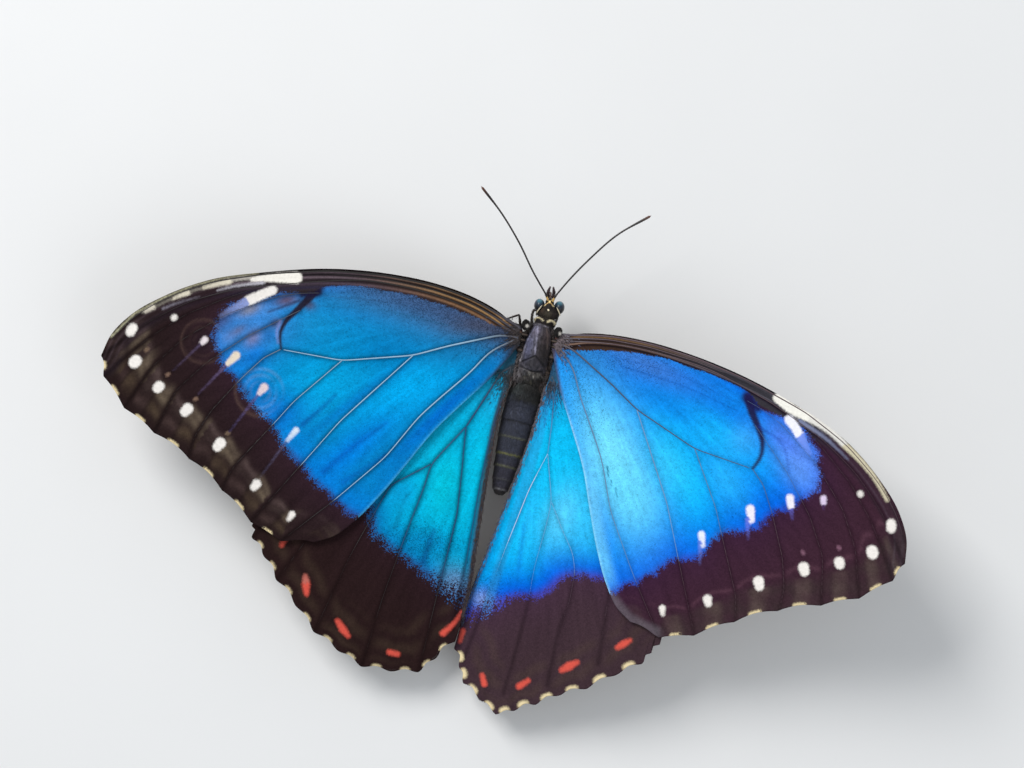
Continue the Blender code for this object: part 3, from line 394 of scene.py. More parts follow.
# Lighter and darker streaks on the thorax's back: path, half width, shade and strength. The pale streaks
# down the middle ridge, along the shield's left rim and down the left flank are painted highlight where the
# key lamp catches them.
BACK_STREAKS = [([(0.62, -3.5), (0.42, -2), (0.3, -0.6), (0.14, 0.5)], 0.12, "A6A4BE", 0.7),
    ([(0.98, -3.4), (1.4, -2), (1.72, -0.4), (1.76, 0.9)], 0.08, "9496B4", 0.6),
    ([(0.66, -3.3), (0.86, -1.6), (0.96, 0.3)], 0.07, "7C7E98", 0.4),
    ([(-0.6, -3.6), (-1.1, -2.2), (-1.4, -0.6)], 0.09, "74645E", 0.6),
    ([(-0.2, -3.6), (-0.35, -1.8), (-0.4, 0.2)], 0.1, "24201F", 0.7),
    ([(1.14, -3.69), (0.9, -3.86), (0.39, -3.9), (-0.35, -3.84), (-0.8, -3.74)], 0.12, "A8A4B2", 0.85),
    ([(2, -0.2), (2.06, 0.7), (2.1, 1.7)], 0.2, "C8C2CC", 0.9),
    ([(-2.2, -0.3), (-2.3, 1), (-1.9, 2.2)], 0.1, "6E5E58", 0.6),
    ([(1.5, 2.2), (0.9, 2.7), (0.4, 3.2)], 0.1, "7C7880", 0.6),
    ([(-1.5, 2), (-0.9, 2.4), (-0.5, 2.8)], 0.08, "686068", 0.5),
    ([(1.9, 3.1), (1.7, 3.8), (1.8, 4.4)], 0.2, "BCB6BC", 0.85),
    ([(1.2, 2.7), (1.1, 3.1), (0.7, 3.4)], 0.16, "86868E", 0.7),
    ([(0.4, 3.2), (-0.5, 3.3), (-1.2, 3.1)], 0.15, "9A9690", 0.8),
    ([(1, 3.5), (0.5, 4.1), (-0.5, 4.2)], 0.1, "6C6A58", 0.6)]
# How long the tufts of each coat are at places along the body: y, and length.
COAT_LENGTHS = {"head_coat": ([-8, -7, -6, -5], [0.1, 0.12, 0.2, 0.28]),
    "collar_coat": ([-5.2, -4], [0.2, 0.34]),
    "thorax_coat": ([-4, -3, 0, 1.6, 2.6, 3.2, 4.2, 5], [0.28, 0.24, 0.24, 0.24, 0.28, 0.6, 0.8, 0.9]),
    "abdomen_coat": ([4.6, 6.5, 7.6, 8.2, 15, 20, 21.4], [0.9, 0.8, 0.6, 0.34, 0.3, 0.28, 0.24])}
SEGMENTS = [7.4, 10.2, 12.8, 15.3, 17.1, 19, 20.5]  # hind edges of the abdomen's segments
SEGMENT_STEP = 0.1  # how far each segment's hind edge stands over the next
# The head, the eyes on it, the tegulae, and the paths of what grows from the head.
HEAD_AT = (-0.35, -6.35, 7.9)
HEAD_TURN = 6.0
EYE_OUT = 1.42
EYE_FORWARD = 0.3
EYE_SIZE = (0.76, 0.93, 1.08)
TEGULA_AT = (2.35, -3.35, 9.55)
TEGULA_SIZE = (0.54, 0.7, 0.33)
BROW_PATH = [(1.06, -0.28, 1.02), (1.28, 0.06, 1), (1.48, 0.4, 0.8), (1.62, 0.66, 0.5), (1.68, 0.86, 0.24)]
PALP_PATH = [(0.3, -1.6, -0.3), (0.4, -2.1, 0.25), (0.35, -2.6, 0.72), (0.22, -3.05, 1)]
TONGUE_AT = (0, -1.55, -2.1)
ANTENNA_PATHS = {
    "left": [(0.48, -8.1, 9.1), (2.9, -10.7, 10), (6, -14.5, 11.3), (9.1, -17.7, 12.3), (13, -20.95, 13)],
    "right": [(-0.8, -8.2, 9.1), (-2.2, -10.9, 10), (-4.4, -14.5, 11.3), (-7.3, -18.5, 12.4),
        (-11.45, -22.35, 13)]}
# A leg's parts: shares of its length, its radii there, what grows on it and how many, how long (from and
# to), how wide, in which two shades, and how steeply it stands.
LEG_PARTS = [
    ("coxa", [0, 0.5, 0.9, 1], [0.42, 0.36, 0.25, 0.15], "coat", 420, (0.25, 0.45), 0.06,
     ("1A1516", "4A413D"), 0.2),
    ("femur", [0, 0.1, 0.45, 0.9, 1], [0.18, 0.22, 0.22, 0.17, 0.11], "coat", 360, (0.18, 0.34), 0.06,
     ("221C1E", "5A5048"), 0.2),
    ("tibia", [0, 0.06, 0.2, 0.9, 1], [0.1, 0.15, 0.13, 0.12, 0.14], "spines", 70, (0.3, 0.5), 0.07,
     ("17110F", "2A1E18"), 0.9)]
# Hip, knee, ankle and toe.
LEG_POINTS = {"midleg_left": [(1.75, 0.9, 3.95), (3.6, -4.55, 7.2), (9.3, -1.1, 0.95), (13.7, 1, 0)],
    "midleg_right": [(-1.75, 0.9, 3.95), (-6, -2.2, 6.9), (-11, -0.8, 0.95), (-15.6, 0.9, 0)],
    "hindleg_left": [(1.6, 3.1, 4.1), (5.3, 8.4, 6), (8.6, 15.4, 0.95), (10.6, 20.4, 0)],
    "hindleg_right": [(-1.5, 3.1, 4.1), (-5.6, 8.2, 6), (-9.4, 14.6, 0.95), (-11.9, 19.4, 0)]}
FORELEG_PATHS = {
    "left": [(1.45, -3.6, 5.6), (1.75, -4.7, 5.5), (1.7, -5.6, 5.2), (1.35, -5.75, 4.75),
        (1.15, -5.1, 4.3)],
    "right": [(-1.35, -3.6, 5.6), (-1.7, -4.7, 5.5), (-1.75, -5.6, 5.2), (-1.45, -5.75, 4.75),
        (-1.2, -5.1, 4.3)]}


# ---- places and curves

def thorax_middle():
    """Where body places are measured from, in millimetres: midway between the tegulae, and behind them."""
    low, high = (np.array(corner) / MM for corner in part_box("tegula_left"))
    left = (low + high) / 2
    low, high = (np.array(corner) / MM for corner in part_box("tegula_right"))
    right = (low + high) / 2
    return (left[0] + right[0]) / 2, left[1] - TEGULA_AT[1], 0


BODY_AT = np.array(thorax_middle())


def in_metres(places):
    """Body places as places in the scene."""
    return (np.asarray(places, float) + BODY_AT) * MM


def many(count):
    """How many cells or tufts to make: all of them, or half while trying things."""
    return round(count * FINE)


def unit(ways):
    """The same directions, each of length 1."""
    return ways / np.maximum(np.linalg.norm(ways, axis=-1, keepdims=True), 1e-9)


def turned(x, y, angle):
    """Places turned about the upright axis: (x cos - y sin, x sin + y cos)."""
    return x * np.cos(angle) - y * np.sin(angle), x * np.sin(angle) + y * np.cos(angle)


def bell(distance, width, power=2):
    """A bell curve: 1 at no distance, and e to the minus (distance / width) to the power elsewhere."""
    return np.exp(-((distance / width) ** power))


def on_map(share):
    """A share from 0 to 1 as a place on a bake map, which keeps MAP_RIM free at its edges."""
    return MAP_RIM + (1 - 2 * MAP_RIM) * share


def lengths_along(places):
    """How far it is along a line to each of its places."""
    return np.r_[0, np.cumsum(np.linalg.norm(np.diff(places, axis=0), axis=1))]


def straight_through(at, known, known_at=None):
    """Values at `at` on the straight lengths between the known places, which lie at 0, 1, 2 and so on if it
    isn't said where."""
    known_at = np.arange(len(known)) if known_at is None else known_at
    return np.stack([np.interp(at, known_at, column) for column in known.T], axis=1)


def linear(shade):
    """Linear red, green and blue of a six-digit shade."""
    channels = np.array([int(shade[i:i + 2], 16) for i in (0, 2, 4)]) / 255
    return np.where(channels <= 0.04045, channels / 12.92, ((channels + 0.055) / 1.055) ** 2.4)


def smooth_through(at, known_at, known):
    """Values at `at` on a curve that passes smoothly through every known point (cubic Hermite)."""
    known_at = np.asarray(known_at, float)
    known = np.asarray(known, float)
    slopes = np.gradient(known, known_at, axis=0)
    cell = np.clip(np.searchsorted(known_at, at, side="right") - 1, 0, len(known_at) - 2)
    width = known_at[cell + 1] - known_at[cell]
    part = (at - known_at[cell]) / width
    if known.ndim > 1:
        part = part[..., None]
        width = width[..., None]
    rest = 1 - part
    return (known[cell] * (1 + 2 * part) * rest**2 + slopes[cell] * width * part * rest**2
            + known[cell + 1] * (3 - 2 * part) * part**2 - slopes[cell + 1] * width * rest * part**2)


def path_through(points, count):
    """`count` places spaced evenly along the smooth curve through the given points."""
    points = np.asarray(points, float)
    if len(points) == 2:
        return points[:1] + np.linspace(0, 1, count)[:, None] * (points[1:] - points[:1])
    along = lengths_along(points)
    fine = smooth_through(np.linspace(0, along[-1], 400), along, points)
    travelled = lengths_along(fine)
    return straight_through(np.linspace(0, travelled[-1], count), fine, travelled)


def bent_line(points, count):
    """`count` places along the straight lengths between the given points, with the corners slightly
    rounded."""
    points = np.asarray(points, float)
    along = lengths_along(points)
    line = straight_through(np.linspace(0, along[-1], count), points, along)
    for _ in range(3):
        line[1:-1] = (line[:-2] + 2 * line[1:-1] + line[2:]) / 4
    return line


def ramp(value, low, high):
    """0 below `low`, 1 above `high`, and a smooth S between."""
    part = np.clip((value - low) / (high - low), 0, 1)
    return part * part * (3 - 2 * part)


def scalloped(tips, at):
    """The outer margin at `at` vein ends along it: the curve through the ends, drawn in between each two,
    once on a forewing and twice on a hindwing."""
    once, twice = FORE_SCALLOP if len(tips) == len(FORE_TIPS) else HIND_SCALLOP
    line = smooth_through(at, np.arange(len(tips)), tips)
    ahead = unit(np.gradient(line, axis=0))
    inward = np.c_[-ahead[:, 1], ahead[:, 0]]
    inward *= np.sign(np.sum(inward * (np.mean(tips, axis=0) * 0.5 - line), axis=1))[:, None]
    depth = once * np.sin(np.pi * (at % 1.0)) + twice * np.sin(2 * np.pi * (at % 1.0)) ** 2
    return line + inward * depth[:, None]


def wing_plan(lead, tips, trail, cells_out, cells_between):
    """Flat places on a grid: a Coons patch between the lead, margin, trail and root edges."""
    across = cells_between * (len(tips) - 1) + 1
    front = path_through(lead, cells_out + 1)[:, None, :]
    rear = path_through(trail, cells_out + 1)[:, None, :]
    margin = scalloped(tips, np.linspace(0, len(tips) - 1, across))[None, :, :]
    u = np.linspace(0, 1, cells_out + 1)[:, None, None]
    v = np.linspace(0, 1, across)[None, :, None]
    root = front[:1] * (1 - v) + rear[:1] * v
    corners = (front[:1] * (1 - u) * (1 - v) + rear[:1] * (1 - u) * v
               + front[-1:] * u * (1 - v) + rear[-1:] * u * v)
    return front * (1 - v) + rear * v + root * (1 - u) + margin * u - corners


def drawn_back(plan):
    """A hindwing's flat places with the fan of its veins partly closed."""
    plan = np.asarray(plan, float)
    turn = np.degrees(np.arctan2(plan[..., 0], plan[..., 1]))
    reach = np.hypot(plan[..., 0], plan[..., 1])
    new_turn = np.radians(smooth_through(turn, FAN_OPEN, FAN_DRAWN))
    reach = reach * smooth_through(turn, FAN_OPEN, FAN_REACH)
    return np.stack([reach * np.sin(new_turn), reach * np.cos(new_turn)], axis=-1)


def sheet_height(side, out, along):
    """Height of one side's wing sheet: raised outwards, and bent down at the tip, the tail and the
    front."""
    run = out - SHEET_AT[0]
    ahead = np.minimum(along - SHEET_AT[1], 0)
    behind = np.maximum(along, 0)
    return (SHEET_AT[2] + run * math.tan(math.radians(RISE[side])) - SHEET_BOW * (run / WING_SPAN) ** 2
            - SHEET_PITCH * (along - SHEET_AT[1]) - SHEET_SAG * (behind / SHEET_LENGTH) ** 2
            - LEAD_DROOP * ahead**2)


def on_body(name, flat, lift=0):
    """Body places of flat places on the named wing, `lift` above its sheet."""
    pair, side = name.split("_")
    flat = np.asarray(flat, float)
    hinge, sweep, lower = HIND_HINGE, 0, STACK
    if pair == "forewing":
        hinge, sweep, lower = FORE_HINGE[side], math.radians(FORE_SWEEP[side]), 0
        back = np.where(flat[..., 1] < 0, flat[..., 1] * FORE_TUCK[side], flat[..., 1])
        flat = np.stack([flat[..., 0], back], axis=-1)
    out, back = turned(flat[..., 0], flat[..., 1], sweep)
    out = hinge[0] + out * math.cos(math.radians(RISE[side]))
    along = hinge[1] + back
    return np.stack([SIDES[side] * out, along, sheet_height(side, out, along) - lower + lift], axis=-1)


def tips_of(name):
    """Where a wing's veins reach its margin."""
    if name.startswith("fore"):
        return np.array(FORE_TIPS)
    tips = np.array(HIND_TIPS)
    return drawn_back(tips) if name.endswith("right") else tips


def veins_of(name):
    """A wing's own table of veins."""
    return FORE_VEINS if name.startswith("fore") else HIND_VEINS[name.split("_")[1]]


def folds_of(name):
    """A wing's own table of creases."""
    return FORE_FOLDS if name.startswith("fore") else HIND_FOLDS[name.split("_")[1]]


# ---- fields over flat places

def far_from(flat, middle):
    """Distance of flat places from one place, or each from its own."""
    return np.hypot(*np.moveaxis(flat - np.asarray(middle), -1, 0))


def far_from_step(flat, start, end):
    """Distance of flat places from the straight length between two places, and the share of it (0 to 1) at
    which the nearest place on it is."""
    step = end - start
    part = np.clip(((flat - start) @ step) / (step @ step + 1e-12), 0, 1)
    return far_from(flat - start, part[..., None] * step), part


def line_distance(flat, line):
    """Distance of flat places from a line, and how far along the line (0 to 1) the nearest place on it
    is."""
    best = np.full(flat.shape[:-1], np.inf)
    where = np.zeros(flat.shape[:-1])
    for number, (start, end) in enumerate(zip(line[:-1], line[1:])):
        gap, part = far_from_step(flat, start, end)
        nearer = gap < best
        best = np.where(nearer, gap, best)
        where = np.where(nearer, (number + part) / (len(line) - 1), where)
    return best, where


def depth_in(flat, outline, count=170):
    """How deep flat places lie inside a closed outline: the distance from it, negative outside."""
    points = np.array(outline, float)
    along = np.arange(len(points) + 3)
    loop = smooth_through(np.linspace(1, len(points) + 1, count), along, points[(along - 1) % len(points)])
    best = np.full(flat.shape[:-1], np.inf)
    inside = np.zeros(flat.shape[:-1], bool)
    for start, end in zip(loop[:-1], loop[1:]):
        step = end - start
        best = np.minimum(best, far_from_step(flat, start, end)[0])
        crosses = (flat[..., 1] < start[1]) != (flat[..., 1] < end[1])
        at = start[0] + (flat[..., 1] - start[1]) * step[0] / (step[1] if abs(step[1]) > 1e-9 else 1e-9)
        inside ^= crosses & (flat[..., 0] < at)
    return np.where(inside, best, -best)


def patch(flat, middle, halves, turn):
    """A soft oval: 1 in its middle, falling away as a bell curve of its two half sizes."""
    x, y = turned(*np.moveaxis(flat - np.array(middle), -1, 0), -math.radians(turn))
    u, v = x / halves[0], y / halves[1]
    return np.exp(-(u * u + v * v))


def blend(under, over, share):
    """A share of one colour over another. Each is an array of colours or a shade."""
    under, over = (linear(paint) if isinstance(paint, str) else paint for paint in (under, over))
    return under * (1 - share[..., None]) + over * share[..., None]


def stroked_over(paint, flat, marks):
    """Soft-edged strokes over a paint, dark marks and painted crease shade among them: (path, half width at
    its start, at its end, softness, shade, strength)."""
    for path, start, end, soft, shade, strength in marks:
        gap, along = line_distance(flat, path_through(path, 14))
        share = strength * ramp(start + (end - start) * along - gap, -soft, soft)
        paint = blend(paint, shade, share)
    return paint


def best_mark(flat, marks):
    """Over all marks: how deep each place lies in the nearest one, and that mark's colour and strength."""
    depth = np.full(flat.shape[:-1], -9.0)
    paint = np.ones((*flat.shape[:-1], 4))
    for path, first, last, shade, strong, weak in marks:
        gap, along = line_distance(flat, path_through(path, 6))
        inside = first + (last - first) * along - gap
        nearer = inside > depth
        depth = np.where(nearer, inside, depth)
        paint[nearer] = [*linear(shade), 0]
        paint[..., 3] = np.where(nearer, strong + (weak - strong) * along, paint[..., 3])
    return depth, paint


def margin_dashes(name):
    """The cream dashes of the outer margin: one in each hollow of a forewing, two between each two veins of
    a hindwing."""
    tips = tips_of(name)
    between = np.arange(len(tips) - 1.0)
    middles = between[:-1] + 0.5
    if name.startswith("hind"):
        middles = np.r_[between[1:] + 0.25, between[1:] + 0.75]
    half, wide = DASHES[name]
    lines = [scalloped(tips, middle + np.array([-half, 0, half])) for middle in middles]
    return [(line, wide, wide, CREAM, 1, 1) for line in lines]


def vein_relief(name, flat):
    """Nearness to a vein and to a crease: bell curves of the distance to each, the largest of them. Also
    gives the distance to the nearest vein and to each of them."""
    ridge = np.zeros(flat.shape[:-1])
    gaps = []
    for path, thick, _ in veins_of(name):
        gap, along = line_distance(flat, bent_line(path, VEIN_STEPS))
        gaps.append(gap)
        ridge = np.maximum(ridge, bell(gap, 0.35 + thick))
    crease = np.zeros(flat.shape[:-1])
    for path, depth in folds_of(name):
        gap, along = line_distance(flat, path_through(path, 24))
        crease = np.maximum(crease, depth * bell(gap, 0.9) * ramp(along, 0, 0.15))
    return ridge, np.min(gaps, axis=0), crease, np.array(gaps)


def across_cell(gaps, trail):
    """Where a place lies between the two veins round it: 0 at the front one, 1 at the back one."""
    lines = np.r_[gaps[list(MARGIN_VEINS)], trail[None]]
    cell = np.argmin(lines[:-1] + lines[1:], axis=0)[None]
    front = np.take_along_axis(lines, cell, 0)[0]
    back = np.take_along_axis(lines, cell + 1, 0)[0]
    return front / (front + back + 1e-6)


def dusky_pattern(flat, dark, side, place, across, nearest):
    """The faint pattern in a forewing's dark border, cell by cell: `place` is 0 at the margin and 1 at the
    row of white spots, `across` runs from 0 to 1 between two veins. Two crossed waves make it uneven."""
    x, y = flat[..., 0], flat[..., 1]
    clear = 1 - bell(nearest, 0.45)
    uneven = 0.8 + 0.28 * np.sin(1.3 * x + 0.5 * y) * np.sin(1.7 * y - 0.6 * x + 2)
    rear = ramp(across, 0.42, 0.6)
    if side == "left":
        for middle, half, strength, fore_shade, rear_shade in DUSKY_ROWS:
            share = strength * clear * uneven * bell(place - middle - 0.05 * np.sin(2.1 * x), half)
            dark = blend(dark, fore_shade, share * (1 - rear))
            dark = blend(dark, rear_shade, share * rear)
        return dark * (1 - 0.3 * bell(across - 0.5, 0.04) * (place < 2))[..., None]
    near = ramp(1.15 - place, 0, 0.5)
    dark = blend(dark, "3A3230", 0.5 * near * uneven)
    bar = bell(across - 0.5, 0.2, 4) * clear * ramp(0.95 - place, 0, 0.15)
    dark = blend(dark, "62534E", 0.45 * bar * uneven)
    arch = place - 1.28 + 0.9 * (across - 0.5) ** 2
    return blend(dark, "76505F", 0.22 * clear * bell(arch, 0.08))


def costal_band(flat, dark, side):
    """The dark front edge of a forewing: tan and bronze stripes at its root, charcoal further out. Each
    stripe is (distance from the front edge, half width, shade near the root, shade further out,
    strength)."""
    gap, along = line_distance(flat, path_through(FORE_LEAD, 60))
    gap = gap / (1 if side == "left" else FORE_TUCK[side])
    band = ramp(3.6 + 1.5 * (1 - ramp(along, 0.4, 0.6)) - gap, 0, 0.6) * ramp(along, -0.01, 0.02)
    near_root = (1 - ramp(along, 0.12, 0.42))[..., None]
    paint = linear("3C2C24") * near_root
    paint = paint + linear("322A2E" if side == "left" else "35333A") * (1 - near_root)
    for middle, half, at_root, further, strength in COSTAL_STRIPES[side]:
        shade = linear(at_root) * near_root + linear(further) * (1 - near_root)
        paint = blend(paint, shade, strength * bell(gap - middle, half))
    outer = ramp(along, 0.6, 0.72)
    return blend(dark, paint, band * (1 - outer * 0.8))


def upper_paint(name, flat):
    """Colour and pattern numbers for a wing's upper side, one per flat place."""
    pair, side = name.split("_")
    outline = (FORE_BLUE if pair == "forewing" else HIND_BLUE)[side]
    depth = depth_in(flat, outline)
    if pair == "forewing":
        front, along_front = line_distance(flat, path_through(FORE_LEAD, 60))
        depth = depth * (1 + 2.5 * (1 - ramp(front, 3.5, 6.5)) * (1 - ramp(along_front, 0.5, 0.62)))
    ridge, nearest, crease, gaps = vein_relief(name, flat)
    recipe = BLUES[name]
    blue = np.broadcast_to(linear(recipe["first"]), (*flat.shape[:-1], 3))
    far_out = ramp(flat[..., 0] + flat[..., 1], 16, 30) if pair == "forewing" else np.ones(depth.shape)
    for shade, reach, strength in recipe["border"]:
        blue = blend(blue, shade, strength * far_out * bell(np.maximum(depth, 0), reach))
    # The patches include each side's painted sheen and the right wings' painted reflection.
    for middle, halves, turn, shade, strength in recipe["patches"]:
        blue = blend(blue, shade, strength * patch(flat, middle, halves, turn))
    # Painted shade beside the raised veins, with the veins' own dark edging.
    blue = blue * (1 - VEIN_SIDE_SHADE[name] * bell(nearest, 0.42))[..., None]
    dark = blend(*DARKS[name], np.exp(-np.maximum(-depth, 0) / 3.5))
    marks = margin_dashes(name)
    tips = tips_of(name)
    rim, along_rim = line_distance(flat, scalloped(tips, np.linspace(0, len(tips) - 1, 80)))
    inner_edge = FORE_TRAIL if pair == "forewing" else HIND_TRAIL
    trail, along_trail = line_distance(flat, path_through(inner_edge, 40))
    between = 1 - bell(nearest, 0.9)
    if pair == "forewing":
        place = rim / (5.3 - 2.5 * along_rim)
        pattern = dusky_pattern(flat, dark, side, place, across_cell(gaps, trail), nearest)
        dark = blend(dark, pattern, 1 - 0.75 * ramp(along_rim, 0.82, 0.93))
        dark = costal_band(flat, dark, side)
        dark = dark * (1 - 0.4 * bell(nearest, 0.3))[..., None]
        # Dark marks, and painted shade along the creases.
        blue = stroked_over(blue, flat, FORE_DARK_MARKS_AND_CREASE_SHADE[side])
        if side == "right":
            lobe = np.minimum(rim, trail + 0.2) - 0.2 * np.sin(flat[..., 0])
            lobe = (1 - ramp(lobe, 0.5, 1.6)) * ramp(along_rim, 0.84, 0.9)
            dark = blend(dark, "6E6870", 0.5 * lobe)
        edge = bell(trail, 0.22) * ramp(along_trail, 0.12, 0.3)
        blue = blend(blue, "4FB4DC" if side == "left" else "A8DCF8", 0.7 * edge)
        if side == "right":
            strip = bell(trail, 1.7, 4) * ramp(along_trail, 0.3, 0.6)
            blue = blend(blue, "78DCFC", 0.55 * strip * (1 - ramp(along_trail, 0.78, 0.9)))
        root = 1 - ramp(flat[..., 0] - 0.1 * flat[..., 1], -0.4, 1.7 if side == "left" else 0.8)
        root = np.maximum(root, 0.9 * bell(trail, 0.4) * (1 - ramp(along_trail, 0.12, 0.26)))
        blue = blend(blue, "32291F" if side == "left" else "4A3A38", 0.92 * root)
        marks = marks + FORE_MARKS[side]
        for middle, size, inner, weight in FORE_RINGS[side]:
            reach = far_from(flat, middle) / size
            rings = (0.5 + 0.5 * np.cos((reach - 0.12) * TURN / 0.29)) * ramp(reach, 0.3, 0.45)
            way = np.arctan2(flat[..., 1] - middle[1], flat[..., 0] - middle[0])
            rings = rings * (1 - ramp(reach, 0.95, 1.15)) * (0.55 + 0.45 * np.sin(way * 2 + reach * 5))
            blue = blend(blue, "86A8D0", weight * 0.45 * rings)
            dark = blend(dark, "5A4640", weight * (0.5 * rings + bell(reach - 1.08, 0.06)))
            core = weight * (1 - ramp(reach, 0.35, 0.75))
            blue = blend(blue, inner, 0.5 * core)
            dark = blend(dark, inner, core)
    else:
        band = 1 - ramp(trail, 0.4, 1)
        shade, strength = ("3C3230", 0.8) if side == "left" else ("2C8CC8", 0.4)
        blue = blend(blue, shade, strength * band)
        root = 1 - ramp(np.hypot(flat[..., 0] - 0.3, flat[..., 1] + 1.5), 1.5, 3.6)
        blue = blend(blue, "2E3438", 0.8 * root)
        # Painted shade along the creases.
        blue = stroked_over(blue, flat, HIND_CREASE_SHADE[side])
        wave = 0.5 + 0.5 * np.sin(rim * 2.3 + along_rim * 9)
        dark = blend(dark, "57483A", 0.2 * wave * between * (1 - ramp(rim, 4.5, 7)) * ramp(rim, 0.6, 1.4))
        dark = dark * (1 - 0.35 * bell(nearest, 0.35))[..., None]
        marks = marks + HIND_MARKS[side]
    light, paint = best_mark(flat, marks)
    share, patches = DUST[name]
    dust = np.full(flat.shape[:-1], share)
    for middle, halves, turn, strength in patches:
        dust = np.maximum(dust, strength * patch(flat, middle, halves, turn))
    grain = np.full(flat.shape[:-1], EDGE[name][1])
    if pair == "hindwing":
        grain = grain + 2.6 * bell(flat[..., 0] - (1 if side == "left" else -1.5), 3.2)
    return {"ground": blue, "shade": dark, "mark": paint, "blue": depth, "grain": grain, "dust": dust,
            "light": light}, ridge, crease


def under_paint(name, flat):
    """Colour and pattern numbers for a wing's underside: brown, banded along the margin, with eyespots."""
    tips = tips_of(name)
    gap, _ = line_distance(flat, scalloped(tips, np.linspace(0, len(tips) - 1, 60)))
    brown = blend("5C4230", "7A5E44", 0.6 * patch(flat, (14, 8), (14, 8), 20))
    for middle, half, shade, strength in UNDER_BANDS:
        brown = blend(brown, shade, strength * bell(gap - middle, half))
    ring = np.full(flat.shape[:-1], 9.0)
    for middle, radius in UNDER_EYES[name.split("_")[0]]:
        if name == "hindwing_right":
            middle = drawn_back(np.array(middle))
        ring = np.minimum(ring, far_from(flat, middle) / radius)
    blank = np.zeros(flat.shape[:-1])
    return {"ground": brown, "shade": brown, "mark": np.ones((*blank.shape, 4)), "blue": blank + 9,
            "grain": blank, "dust": blank, "light": blank - 9, "ring": ring}


# ---- finishes

class Flow:
    """What comes out of a node of a finish. +, - and * add the node that works it out."""

    def __init__(self, tree, socket):
        self.tree = tree
        self.socket = socket

    def maths(self, operation, second, third=0):
        """One sum of this and one or two others."""
        return node(self.tree, "ShaderNodeMath", {0: self, 1: second, 2: third}, operation=operation)

    def __add__(self, other):
        return self.maths("ADD", other)

    def __sub__(self, other):
        return self.maths("SUBTRACT", other)

    def __mul__(self, other):
        return self.maths("MULTIPLY", other)

    def spread(self, factor, base):
        """This times a factor, plus a base."""
        return self.maths("MULTIPLY_ADD", factor, base)

    def scaled(self, factor):
        """This colour times a number."""
        return node(self.tree, "ShaderNodeVectorMath", {0: self, "Scale": factor}, operation="SCALE")

    def stepped(self, low, high, first=0, last=1):
        """A smooth S from `first` where this is `low` to `last` where it is `high`."""
        return node(self.tree, "ShaderNodeMapRange", {"Value": self, "From Min": low, "From Max": high,
                    "To Min": first, "To Max": last}, interpolation_type="SMOOTHSTEP")

    def mixed(self, under, over):
        """This share of one colour over another."""
        return node(self.tree, "ShaderNodeMix", {0: self, 6: under, 7: over}, out=2, data_type="RGBA")

    def noise(self, scale, detail=2):
        """Soft random clouds over these places."""
        return node(self.tree, "ShaderNodeTexNoise", {"Vector": self, "Scale": scale, "Detail": detail})

    def cells(self, scale):
        """A random number for each small cell of a broken-up surface at these places."""
        spots = node(self.tree, "ShaderNodeTexVoronoi", {"Vector": self, "Scale": scale}, out=1)
        return node(self.tree, "ShaderNodeSeparateColor", {0: spots})

    def into(self, shader, name):
        """Feeds this into an input of the shader."""
        self.tree.links.new(self.socket, shader.inputs[name])


def node(tree, kind, inputs=None, out=0, **settings):
    """Adds a node with its settings and inputs, and gives one of its outputs."""
    made = tree.nodes.new(kind)
    for key, value in settings.items():
        setattr(made, key, value)
    for key, value in (inputs or {}).items():
        if isinstance(value, Flow):
            tree.links.new(value.socket, made.inputs[key])
        else:
            made.inputs[key].default_value = value
    return Flow(tree, made.outputs[out])


def read(tree, name, out="Color"):
    """An attribute of the piece: out is Color, Vector, Fac or Alpha."""
    return node(tree, "ShaderNodeAttribute", out=out, attribute_name=name)


def object_places(tree):
    """The places of the piece itself, in metres."""
    return node(tree, "ShaderNodeTexCoord", out=3)


def new_finish(name, roughness, **constants):
    """A new finish with its roughness and other constants: the finish, its tree and its shader."""
    made = bpy.data.materials.new(name)
    made.use_nodes = True
    shader = made.node_tree.nodes["Principled BSDF"]
    shader.inputs["Roughness"].default_value = roughness
    for key, value in constants.items():
        shader.inputs[key.replace("_", " ")].default_value = value
    return made, made.node_tree, shader


def bumped(shader, height, distance, strength=0.6):
    """Relief: the surface seems raised by the height times the distance, in metres."""
    inputs = {"Height": height, "Distance": distance, "Strength": strength}
    node(height.tree, "ShaderNodeBump", inputs).into(shader, "Normal")


